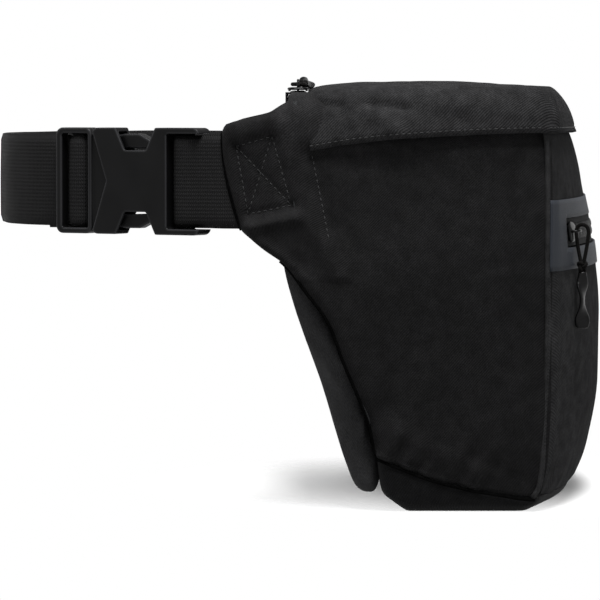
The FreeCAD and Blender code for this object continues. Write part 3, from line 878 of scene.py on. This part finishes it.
def back_pad():
    """The pad against the wearer: one full pillow, round at its heel and sewn in at its edges."""
    rows = []
    for z in steps(PAD_LOW, PAD_HIGH, 60):
        ends = min((z - PAD_LOW) / 5.0, (PAD_HIGH - z) / 6.0, 1.0)
        half = half_width(z) - 2.6 - 0.4
        inner = back_line(z) - 0.4
        row = []
        for share in steps(-1.0, 1.0, 80):
            full = (1 - abs(share) ** 16) ** (1 / 3)
            full *= math.sqrt(max(1 - (1 - max(ends, 0.0)) ** 2, 0.0))
            row.append((half * share, inner + (pad_outer(z) - 0.6 - inner) * full, z))
        behind = [(x, back_line(z) - 0.8, z) for x, _, _ in reversed(row)]
        rows.append(row + behind)
    pad = closed(grid("back_pad", rows, joined=True))

    def hold(start, moved):
        z = min(max(moved.z / MM, 4.9), 153.0)
        if start.z < HEEL_TOP * MM:
            z = min(z, start.z / MM)
        y = max(moved.y / MM, back_line(z) - 0.8)
        y = min(y, pad_outer(z) + 0.6)
        reach = half_width(z) - 2.2
        x = min(max(moved.x / MM, -reach), reach)
        return Vector((x, y, z)) * MM

    return puffed(pad, hold, voxel=4.0, pressure=4.0, limit=5.0)


def wing_seam_shade(side, name):
    """Painted shade: a near-black tube along the crevice where the webbing runs into the tip of a wing."""
    path = [(side * TIP_X, rear_edge(z) + 0.1, z) for z in steps(115.5, 155.0, 40)]
    return finish(tube(name, path, 0.5), "pack", PAINTED_SEAM_SHADE, "shell_fabric")


def wing_pad(side, name):
    """The padded inner half of a wing."""
    rows = []
    for z in steps(WING_LOW, WING_HIGH, 46):
        tip = rear_edge(z) - 1.6
        root = min(-3.0, tip - 3)
        ends = min((z - WING_LOW) / 4.0, (WING_HIGH - z) / 4.0, 1.0)
        outline = []
        for share in steps(0.0, 1.0, 28):
            full = (1 - share**8) ** 0.5 * math.sqrt(max(1 - (1 - max(ends, 0.02)) ** 2, 0.0))
            outline.append((root + (tip - root) * share, full))
        outer = [(side * (WING_MIDDLE + 3.9 * full), y, z) for y, full in outline]
        inner = [(side * (WING_MIDDLE - 3.4 * full), y, z) for y, full in reversed(outline)]
        rows.append(outer + inner)
    pad = closed(grid(name, rows, joined=True))

    def hold(start, moved):
        x = min(max(abs(moved.x) / MM, 128.9), 137.4)
        y = min(moved.y / MM, rear_edge(moved.z / MM) - 0.8)
        return Vector((side * x, y, moved.z / MM)) * MM

    return puffed(pad, hold, voxel=1.6, pressure=3.0, limit=1.5)


def side_seam_shade(side, name):
    """Painted shade: a near-black tube along the grooves at the side's rear edge and its bottom seam."""
    rear = [(side * (half_width(z) - 0.9), rear_edge(z) + 0.3, z) for z in steps(22.4, 103.0, 60)]
    low = []
    for y in steps(-32.0, -96.0, 60):
        z = seam_height(y)
        low.append((side * (half_width(z) - 0.1), y, z - 0.5))
    line = list(reversed(rear)) + low
    return finish(tube(name, line, 0.55), "pack", PAINTED_SEAM_SHADE, "shell_fabric")


# ---------------- hood

HOOD_REAR = -3.8
HOOD_THICKNESS = 1.6
HOOD_CORNER = -101.0  # where the hood's sides turn into its front
SPINE_END = -45.0  # the front end of the line that the hood's cloth runs up to

# The hood's top and lower edge and half its width by Y, and its front by X
hood_top = profile((-120, 173.6), (-97, 174.3), (-60, 175.0), (-20, 174.7), (-9, 173.6), (-3, 171.9))
hood_edge = profile((-122, 154.6), (-104, 155.0), (-81, 154.6), (-40, 152.4), (-20, 150.3), (-3, 147.4))
hood_half = profile((-122, 143.3), (-60, 143.4), (-40, 143.0), (-22, 141.8), (-3, 139.3))
hood_front = profile((0, -119.3), (60, -116.6), (110, -110.2), (138, -105.4))

HOOD_CREASES = (
    ((-22.0, 162.0), (-40.0, 155.5), 3.2, 2.2),
    ((-6.0, 168.0), (-17.0, 167.0), 1.5, -1.8),
    ((-29.0, 167.6), (-43.0, 165.6), 1.5, -1.8),
    ((-19.0, 163.5), (-32.0, 157.5), 2.2, -1.9),
    ((-46.0, 165.0), (-66.0, 160.5), 3.0, -0.8),
    ((-58.0, 167.0), (-92.0, 162.0), 4.0, 0.8),
)


def hood_rim():
    """The hood's lower edge in plan, from its rear left corner round the front to the rear right."""
    left = [(-hood_half(y), y) for y in steps(HOOD_REAR, HOOD_CORNER, 56)]
    front = [(x, hood_front(abs(x))) for x in steps(-139.0, 139.0, 110)]
    return eased([Vector((*p, 0)) for p in left + front + [(-x, y) for x, y in reversed(left)]], 5)


def hood_relief(p, rise):
    """How far the hood's cloth stands out; rise is 0 at its edge and 1 on top."""
    height = unevenness(p, 40.0, 1.3, 7.0) + unevenness(p, 14.0, 0.55, 8.0)
    if rise < 1.0:
        height *= 0.35 + 0.65 * rise
    if p.x < 0 and rise < 1.0:
        height += creased((p.y, p.z), HOOD_CREASES)
    return height


def hood():
    """The hooded lid as one piece of cloth: skirt, rounded edge and top."""
    columns = []
    for rim in hood_rim():
        spine = Vector((0, max(rim.y, SPINE_END), 0))
        inward = (spine - rim).normalized()
        ahead = smoothstep(95.0, 112.0, -rim.y)
        run = 9.5 + 5.5 * ahead
        power = 2.7 - 1.1 * ahead
        low = hood_edge(rim.y)
        high = hood_top((rim + inward * run).y)
        column = []
        for angle in steps(0.0, math.pi / 2, 18):
            inset = run * (1 - max(math.cos(angle), 0.0) ** (2 / power))
            rise = math.sin(angle) ** (2 / power)
            place = rim + inward * inset
            place.z = low + (high - low) * rise
            out = -inward * math.cos(angle) + Vector((0, 0, math.sin(angle)))
            hem = bulge(place.z - low, 1.6, 0.6) - bulge(place.z - low - 1.9, 0.6, 0.45)
            column.append(place + out * (hood_relief(place, 0.99 * rise) + hem - 0.4))
        edge = rim + inward * run
        last = column[-1]
        for share in steps(0.0, 1.0, 26)[1:]:
            place = edge + (spine - edge) * share
            crown = 0.9 * (1 - (1 - share) ** 2)
            place.z = hood_top(place.y) + crown + hood_relief(place, 1.0) * smoothstep(0, 0.12, share) - 0.4
            place.z += (last.z - hood_top(edge.y) + 0.4) * (1 - smoothstep(0.0, 0.3, share))
            column.append(place)
        columns.append(column)
    sheet = merged(grid("hood_cloth", columns), 0.05)
    return thickened(sheet, HOOD_THICKNESS, lambda p: (p.x, p.y + 50.0, p.z - 140.0))


# ---------------- webbing

BELT_Z = 135.0
WEBBING_HEIGHT = 37.6
WEBBING = 1.7
BUCKLE_START = Vector((-131.5, 38.5, 0))
BUCKLE_TURN = math.radians(30.4)
ALONG = Vector((math.sin(BUCKLE_TURN), math.cos(BUCKLE_TURN), 0))
OUTWARD = Vector((-math.cos(BUCKLE_TURN), math.sin(BUCKLE_TURN), 0))
SEWN_X = 136.9
SEWN_END = 31.0
APEX_Y = 129.1


def belt_point(along, outward, height=0.0):
    return BUCKLE_START + ALONG * along + OUTWARD * outward + Vector((0, 0, height))


def rounded_line(points, passes, pitch=1.0):
    """A broken line cut into even short steps, with its corners rounded off."""
    return eased(evenly(points, pitch) + [Vector(points[-1])], passes)


def webbing(name, path, seed, sag):
    """A strap standing on edge along a plan path, with full rounded edges and a slight wave."""
    across = steps(-1.0, 1.0, 14)
    ring = [(share, 0.5 * (1 - abs(share) ** 14) ** 0.5) for share in across]
    ring += [(share, -0.5 * (1 - abs(share) ** 14) ** 0.5) for share in reversed(across[1:-1])]
    rows = []
    lay = []
    travelled = 0.0
    for i, place in enumerate(path):
        behind = path[max(i - 1, 0)]
        along = (path[min(i + 1, len(path) - 1)] - behind).normalized()
        side = Vector((along.y, -along.x, 0))
        travelled += (place - behind).length
        row = []
        for share, depth in ring:
            wave = unevenness((travelled, share * 19.0, 0), 24.0, sag, seed)
            z = BELT_Z + share * WEBBING_HEIGHT / 2 + unevenness((travelled, 0, 0), 40.0, 0.25, seed + 2)
            row.append(place + side * (depth * WEBBING + wave) + Vector((0, 0, z)))
            lay.append((travelled, share * WEBBING_HEIGHT / 2))
        rows.append(row)
    return closed(grid(name, rows, joined=True, lay=lay))


REAR_SWEEP = math.radians(10.0)


def arc(centre, radius, first, last, count):
    """Plan points of an arc that curves about its centre, by the angle of its heading."""
    return [centre + Vector((-math.sin(a), math.cos(a), 0)) * radius for a in steps(first, last, count)]


def belt_arcs(start, heading, apex):
    """Two arcs from a point with its heading to the belt's rear apex, as plan points."""
    across = math.sin(heading) - math.sin(REAR_SWEEP)
    forward = math.cos(REAR_SWEEP) - math.cos(heading)
    run_x, run_y = apex.x - start.x, apex.y - start.y
    flat_x, flat_y = math.sin(REAR_SWEEP), 1 - math.cos(REAR_SWEEP)
    near = (run_x * flat_y - run_y * flat_x) / (across * flat_y - forward * flat_x)
    far = (run_x - near * across) / flat_x
    near_centre = start + Vector((math.sin(heading), -math.cos(heading), 0)) * near
    far_centre = apex - Vector((0, far, 0))
    return arc(near_centre, near, heading, REAR_SWEEP, 60) + arc(far_centre, far, REAR_SWEEP, 0.0, 40)[1:]


def anchor_strap():
    """The short strap: out of the wing, round the housing's bar and back into the wing."""
    path = [
        Vector((-SEWN_X - 0.3, 12.0, 0)),
        Vector((-SEWN_X - 0.3, SEWN_END, 0)),
        belt_point(3.0, 1.0),
        belt_point(6.2, 2.5),
        belt_point(12.4, 2.7),
        belt_point(14.3, 0.0),
        belt_point(12.4, -3.0),
        belt_point(6.2, -3.0),
        belt_point(2.0, -1.9),
        Vector((-SEWN_X + 2.0, SEWN_END, 0)),
        Vector((-SEWN_X + 1.7, 12.0, 0)),
    ]
    return webbing("anchor_strap", rounded_line(path, 5, 0.8), seed=3.0, sag=0.15)


def belt_strap():
    """The long strap: its tail, its wrap round the frame's bar, and the belt round to the far wing."""
    inner = -2.3
    apex = Vector((0, APEX_Y, 0))
    near = belt_arcs(belt_point(72.5, inner), math.pi / 2 - BUCKLE_TURN, apex)
    far = belt_arcs(Vector((-SEWN_X, SEWN_END + 0.5, 0)), math.pi / 2, apex)
    path = [
        belt_point(79.0, -5.1, -1.0),
        belt_point(57.8, -5.1, -1.0),
        belt_point(56.3, -4.0, -0.7),
        belt_point(55.9, 0.0, -0.4),
        belt_point(56.6, 2.4, -0.4),
        belt_point(57.6, 2.9, -0.4),
        belt_point(62.6, 2.9, -0.4),
        belt_point(64.0, 2.0, -0.4),
        belt_point(65.2, -1.2, -0.3),
        belt_point(66.4, inner),
    ]
    path += near + [Vector((-p.x, p.y, 0)) for p in reversed(far)][1:]
    path += [Vector((SEWN_X, 12.0, 0))]
    return webbing("belt_strap", rounded_line(path, 4), seed=5.0, sag=0.4)


# ---------------- zips

ZIP_AXIS_Y = 262.0
ZIP_RADIUS = 387.6
POCKET_ZIP_LENGTH = 234.0
LID_ZIP_LENGTH = 234.0
REAR_ZIP_LENGTH = 207.0
ZIP_Z = 113.8
ZIP_TILT = math.radians(7.0)
MAIN_Y = 0.8
MAIN_Z = 171.0
SLIDER_ANGLE = -math.asin(108.0 / ZIP_RADIUS)
BAIL_HOLE = 3.45
LOOP_HALF = 2.6
CORD_RADIUS = 0.8
KNOT_Z = -17.0
MAIN_PLACE = Vector((-115.0, MAIN_Y, MAIN_Z))


def on_main_zip(p):
    return MAIN_PLACE + Vector(p)


def on_pocket_zip(p, angle=SLIDER_ANGLE):
    """From a slider's own frame (X along the zip, top +Z) to its place on the pocket zip."""
    x, y, z = p
    outwards = z * math.cos(ZIP_TILT) - y * math.sin(ZIP_TILT)
    up = z * math.sin(ZIP_TILT) + y * math.cos(ZIP_TILT)
    place = Vector((x, -ZIP_RADIUS - outwards, ZIP_Z + up))
    place.rotate(Matrix.Rotation(angle, 3, "Z"))
    return place + Vector((0, ZIP_AXIS_Y, 0))


COIL_REACH = 1.55
COIL_HEIGHT = 0.62
COIL_WIRE = 0.42
COIL_PITCH = 1.5
COIL_STEPS = 10  # points to a turn


def coil(name, place, length, side):
    """One half of a coil zip: a flat spiral along X, sewn along its outer edge."""
    points = []
    count = int(length / COIL_PITCH * COIL_STEPS)
    for i in range(count + 1):
        turn = 2 * math.pi * i / COIL_STEPS + (math.pi if side > 0 else 0)
        x = -length / 2 + length * i / count
        y = COIL_REACH * side + COIL_REACH * math.cos(turn)
        points.append(place((x, y, COIL_HEIGHT * math.sin(turn))))
    return tube(name, points, COIL_WIRE, 5)


# Half a slider's length and its width, how much it narrows, and how square its corners are
SLIDER_LENGTH = 5.5
SLIDER_WIDTH = 4.2
SLIDER_TAPER = 0.55
SLIDER_CORNER = 3.2

# A slider's plate from its inner face outwards: size as a share of its outline, and height
PLATE_STEPS = ((0.02, 1.15), (0.86, 1.15), (1.0, 1.4), (1.0, 1.85), (0.9, 2.2), (0.6, 2.32), (0.02, 2.36))


def slider(name, place, body, replaced):
    """A zip slider: two shaped plates joined by a post, with flanged edges and a cord bail."""
    outline = []
    for angle in steps(0.0, 2 * math.pi, 40)[:-1]:
        c, s = math.cos(angle), math.sin(angle)
        shape = (abs(c) ** SLIDER_CORNER + abs(s) ** SLIDER_CORNER) ** (-1 / SLIDER_CORNER)
        outline.append((SLIDER_LENGTH * shape * c, (SLIDER_WIDTH - SLIDER_TAPER * c) * shape * s))
    parts = []
    for up in (1, -1):
        rows = []
        for size, height in PLATE_STEPS:
            rows.append([place((x * size, y * size, up * height)) for x, y in outline])
        parts.append(grid("plate", rows, joined=True))
        for side in (1, -1):
            rail = [place((x, side * (3.75 + 0.12 * min(x, 0.0)), up * 0.98)) for x in steps(-4.0, 3.6, 8)]
            parts.append(tube("rail", rail, 0.34, 6))
    post = [place((3.6, 0.0, z)) for z in (-1.4, 1.4)]
    parts.append(tube("post", post, 0.55, 8))
    arch = []
    for angle in steps(0.0, math.pi, 16):
        reach = signed_power(math.cos(angle), 0.55)
        arch.append(place((3.3 * reach, 0.0, 2.0 + 3.2 * math.sin(angle) ** 0.6)))
    parts.append(tube("arch", arch, 0.52, 8))
    made = merged(joined(name, parts), 0.001)
    return finish(made, body, ENAMEL, "zip_metal", replaced)


def loop_route():
    """The cord loop's line from its knot up round the bend at the origin and back to the knot."""
    points = [(-0.5, KNOT_Z + 1.0), (-1.05, -13.6), (-2.1, -7.8), (-LOOP_HALF, -4.0)]
    bend = [(-LOOP_HALF * math.cos(a), -LOOP_HALF + LOOP_HALF * math.sin(a)) for a in steps(0.0, math.pi, 6)]
    return points + bend + [(-x, z) for x, z in reversed(points)]


def cord_loop(name, place, body, node_name):
    """The pull's cord as one curve, tied in its knot."""
    route = [place((x, 0.0, z)) for x, z in loop_route()]
    curve = bpy.data.curves.new(name, "CURVE")
    curve.dimensions = "3D"
    curve.bevel_depth = CORD_RADIUS * MM
    curve.bevel_resolution = 3
    curve.resolution_u = 8
    curve.use_fill_caps = True
    spline = curve.splines.new("NURBS")
    spline.points.add(len(route) - 1)
    for point, spot in zip(spline.points, route):
        point.co = (*(spot * MM), 1.0)
    spline.order_u = 3
    spline.use_endpoint_u = True
    made = new_object(name, curve)
    finish(made, body, CORD_SLEEVE, "cord", [node_name])
    length = sum((there - here).length for here, there in zip(route, route[1:]))


KNOT_SIZE = 0.62
KNOT_TURNS = 64  # points round the knot
KNOT_ENDS = ((0.5, 0.6), (0.8, 1.8), (0.75, 3.0))  # how far aside and below the knot its ends run


def knot(name, place, body):
    """An overhand knot with its two short ends."""
    line = []
    for i in range(KNOT_TURNS):
        t = 2 * math.pi * i / KNOT_TURNS
        x = KNOT_SIZE * (math.sin(t) + 2 * math.sin(2 * t))
        y = KNOT_SIZE * (math.cos(t) - 2 * math.cos(2 * t))
        line.append(place((x, -0.765 * math.sin(3 * t), KNOT_Z + y * 0.95)))
    parts = [tube("turns", line, 0.78, 8, joined=True)]
    for side in (-1, 1):
        end = [place((side * aside, 0.3 * side, KNOT_Z - below)) for aside, below in KNOT_ENDS]
        parts.append(tube("end", end, 0.72, 8))
    return finish(joined(name, parts), body, CORD_SLEEVE, "cord")


TAB_TOP = KNOT_Z - 2.2
TAB_LENGTH = 23.6

# Half the tab's width, by the share of its length from its top
tab_half = profile((0.0, 1.5), (0.12, 2.1), (0.3, 2.9), (0.55, 2.3), (0.85, 3.2), (0.97, 2.6), (1.0, 1.6))


def pull_tab(name, place, body, node_name):
    """A moulded grip, twisted along its length, with fine ridges across it."""
    rows = []
    for share in steps(0.0, 1.0, 70):
        turn = math.radians(12.0 + 78.0 * math.sin(math.pi * share) ** 2)
        ridge = 0.10 * max(math.sin(2 * math.pi * share * 15), 0.0) if 0.15 < share < 0.9 else 0.0
        ends = math.sqrt(max(1 - abs(2 * share - 1) ** 16, 0.0))
        row = []
        for angle in steps(0.0, 2 * math.pi, 24)[:-1]:
            a = tab_half(share) * signed_power(math.cos(angle), 0.7)
            b = (0.85 + ridge) * ends * signed_power(math.sin(angle), 0.7)
            x = a * math.cos(turn) - b * math.sin(turn)
            y = a * math.sin(turn) + b * math.cos(turn)
            row.append(place((x, y, TAB_TOP - TAB_LENGTH * share)))
        rows.append(row)
    return finish(closed(grid(name, rows, joined=True)), body, SOFT_RUBBER, "pull_tab", [node_name])


MAIN_PULL_LIE = math.radians(-91.2)
MAIN_PULL_ASIDE = math.radians(-6.0)


def main_pull_place(p):
    """The main pull lies along the zip towards +X, a little aside over the lid."""
    x, y, z = p
    place = Vector((y, x, z))
    place.rotate(Matrix.Rotation(MAIN_PULL_LIE, 3, "Y"))
    place.rotate(Matrix.Rotation(MAIN_PULL_ASIDE, 3, "Z"))
    return MAIN_PLACE + Vector((0, 0, BAIL_HOLE)) + place


def pocket_pull_place(p):
    """The pocket pull hangs down from its slider, with the plane of its loop radial."""
    x, y, z = p
    place = Vector((-y, x - ZIP_RADIUS - BAIL_HOLE - LOOP_HALF, z + ZIP_Z + LOOP_HALF + 0.6))
    place.rotate(Matrix.Rotation(SLIDER_ANGLE, 3, "Z"))
    return place + Vector((0, ZIP_AXIS_Y, 0))


# ---------------- camera, light and floor

VIEW_LENS = 246.9
VIEW_SENSOR = 36.0
VIEW_DISTANCE = 1.8
VIEW_HEIGHT = 0.168
VIEW_TILT = math.radians(2.78)


def place_camera():
    """A long lens level with the pack's top, square on to its near side."""
    camera = bpy.data.cameras.new("camera")
    camera.lens = VIEW_LENS
    camera.sensor_width = VIEW_SENSOR
    made = new_object("camera", camera)
    made.location = (-VIEW_DISTANCE, 0.0, VIEW_HEIGHT)
    made.rotation_euler = (math.pi / 2 - VIEW_TILT, 0.0, -math.pi / 2)
    bpy.context.scene.camera = made


LIGHT_AIM = (0, 0, 0.1)


def area_light(name, place, size, power):
    """A soft rectangular light that looks at the pack."""
    lamp = bpy.data.lights.new(name, "AREA")
    lamp.shape = "RECTANGLE"
    lamp.size, lamp.size_y = size
    lamp.energy = power
    made = new_object(name, lamp)
    made.location = place
    made.rotation_euler = (Vector(LIGHT_AIM) - Vector(place)).to_track_quat("-Z", "Y").to_euler()


def light_studio():
    """A white surround that darkens overhead, with a broad light above and a weak one behind."""
    world = bpy.data.worlds.new("studio")
    world.use_nodes = True
    tree = world.node_tree
    height = node(tree, "SeparateXYZ", Vector=node(tree, "TexCoord").outputs["Generated"]).outputs["Z"]
    overhead = between(tree, height, 0.30, 0.62, grey(1.0), grey(0.12))
    connect(tree, tree.nodes["Background"], Color=overhead, Strength=1.0)
    bpy.context.scene.world = world
    area_light("top", (-0.6, -0.12, 1.45), (0.5, 0.9), 60.0)
    area_light("rear", (-0.1, 1.3, 0.9), (0.7, 0.7), 9.0)
    bpy.context.scene.view_settings.view_transform = "Standard"


# In metres: the middle of the pack's base, and how far from it the floor starts and ends its fade
BASE_MIDDLE = Vector((0, -0.078, 0))
FLOOR_SOLID = 0.03
FLOOR_END = 0.15
FLOOR_HALF = 1500.0  # mm


def lay_floor():
    """A pale floor that fades into the white surround away from the pack."""
    ends = (-FLOOR_HALF, FLOOR_HALF)
    floor = grid("floor", [[(x, y, 0.0) for x in ends] for y in ends])
    made, tree, shader, place = start_material("floor white")
    white = between(tree, noisy(tree, place, 3.0, 3.0), 0.3, 0.7, grey(0.93), grey(0.95))
    connect(tree, shader, Base_Color=white, Roughness=0.7)
    away = node(tree, "VectorMath", {"operation": "DISTANCE"})
    tree.links.new(place, away.inputs[0])
    away.inputs[1].default_value = BASE_MIDDLE
    fade = spread(tree, away.outputs["Value"], FLOOR_SOLID, FLOOR_END, 0.0, 1.0)
    mixed = node(tree, "MixShader", Fac=fade)
    tree.links.new(shader.outputs["BSDF"], mixed.inputs[1])
    tree.links.new(node(tree, "BsdfTransparent").outputs["BSDF"], mixed.inputs[2])
    connect(tree, tree.nodes["Material Output"], Surface=mixed.outputs["Shader"])
    floor.data.materials.append(made)


place_camera()
light_studio()
lay_floor()

# ---------------- pulls and cords

for pull, place in (("main", main_pull_place), ("pocket", pocket_pull_place)):
    body = pull + "_pull"
    tied = knot(pull + "_knot", place, body)
    grip = pull_tab(pull + "_grip", place, body, pull + "_pull_tab")
    cord_loop(pull + "_cord", place, body, pull + "_pull_cord")

slider("main_zip_slider", on_main_zip, "main_slider", ["main_slider", "main_pull_bail"])
slider("pocket_zip_slider", on_pocket_zip, "pocket_slider", ["pocket_slider", "pocket_pull_bail"])

# ---------------- case pieces

left = side_panel(-1, "side_left", seed=11.0)
right = side_panel(1, "side_right", seed=23.0)
finish(left, "pack", CLOTH, "shell_fabric", ["side_panel_left"])
finish(right, "pack", CLOTH, "shell_fabric", ["side_panel_right"])

front = front_sheet("front_cloth", low=5.3, high=166.0, lift=0.0, edge=0.999)
front = thickened(front, CLOTH_THICKNESS, lambda p: (0, -1, 0))
finish(front, "pack", LIT_FRONT_CLOTH, "shell_fabric", ["front_panel"])
film = front_sheet("reflective_patch", low=98.8, high=127.6, lift=0.75, edge=0.995)
film = thickened(film, FILM_THICKNESS, lambda p: (0, -1, 0))
finish(film, "pack", FILM, "patch", ["pocket_surround"])
finish(bottom_panel(), "pack", BASE_CLOTH, "base_fabric", ["bottom_panel"])
finish(back_wall(), "pack", INNER_CLOTH, "back_fabric", ["back_panel"])

pad = finish(back_pad(), "pack", PAD_CLOTH, "back_fabric", ["back_cover", "back_foam"])
for side, name in ((-1, "left"), (1, "right")):
    wing = wing_pad(side, "wing_pad_" + name)
    finish(wing, "pack", PAD_CLOTH, "back_fabric", ["wing_foam_" + name, "wing_lining_" + name])
    wing_seam_shade(side, "wing_seam_shade_" + name)
    side_seam_shade(side, "side_seam_shade_" + name)

lid = hood()
finish(lid, None, LIT_HOOD_CLOTH, "hood_fabric", ["lid_panel", "hood_visor"])
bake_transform(lid)

# ---------------- zips


def along_pocket(p):
    """From a place along the pocket zip, across it and out from it to a point in the frame."""
    return on_pocket_zip((0.0, p[1], p[2]), p[0] / ZIP_RADIUS)


def along_main(p):
    return Vector((p[0], MAIN_Y + p[1], MAIN_Z + p[2]))


for node_name, body, place, length, side in (
    ("pocket_coil_upper", "pack", along_pocket, POCKET_ZIP_LENGTH, 1),
    ("pocket_coil_lower", "pack", along_pocket, POCKET_ZIP_LENGTH, -1),
    ("main_coil_lid", "lid", along_main, LID_ZIP_LENGTH, -1),
    ("main_coil_rear", "pack", along_main, REAR_ZIP_LENGTH, 1),
):
    half = coil(node_name + "_turns", place, length, side)
    finish(half, body, COIL_PLASTIC, "zip_coil", [node_name])

for node_name, material, slot, width in (
    ("pocket_tape_upper", TAPE_CLOTH, "zip_tape", 0.1),
    ("pocket_tape_lower", TAPE_CLOTH, "zip_tape", 0.1),
    ("main_tape_rear", TAPE_CLOTH, "zip_tape", 0.1),
    ("main_tape_lid", TAPE_CLOTH, "zip_tape", 0.1),
    ("pocket_pouch", INNER_CLOTH, "shell_fabric", 0.4),
    ("main_end_tabs", CLOTH, "shell_fabric", 1.0),
    ("pocket_zip_stops", COIL_PLASTIC, "zip_coil", 0.5),
    ("base_stiffener", BOARD, "stiffener", 0.4),
):
    softened(node_name, "lid" if node_name == "main_tape_lid" else "pack", material, slot, width)

# ---------------- belt and buckle

strap = anchor_strap()
finish(strap, "pack", STRAP_WEAVE, "webbing", ["anchor_webbing"])
belt = belt_strap()
finish(belt, None, STRAP_WEAVE, "webbing", ["strap_near", "strap_far"])
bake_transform(belt)

for node_name, body in (
    ("buckle_female", "pack"),
    ("buckle_male", "buckle_male"),
    ("buckle_arm_upper", "arm_upper"),
    ("buckle_arm_lower", "arm_lower"),
):
    moulded_copy(node_name, body, ACETAL, "buckle", -BUCKLE_TURN)

# ---------------- sewing

for side, panel, name in ((-1, left, "left"), (1, right, "right")):
    sewn_side = surface_of(panel)
    runs = []
    for line in [*BOX_LINES, ROOT_LINE]:
        runs.append((sewn_side, [(side * 150, y, z) for y, z in line], (-side, 0, 0)))
    stitches("wing_stitches_" + name, runs, "pack")

HEM_LIFT = 1.9
hem_line = [Vector((p.x, p.y, hood_edge(p.y) + HEM_LIFT)) for p in hood_rim()]
lid_surface = surface_of(lid)
hem_runs = [
    (lid_surface, [p for p in hem_line if p.x < 0 and p.y > HOOD_CORNER + 1], (1, 0, 0)),
    (lid_surface, [p for p in hem_line if p.y < HOOD_CORNER], (0, 1, 0)),
    (lid_surface, [p for p in hem_line if p.x > 0 and p.y > HOOD_CORNER + 1], (-1, 0, 0)),
]
sewn = stitches("hood_hem_stitches", hem_runs, None)
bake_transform(sewn)
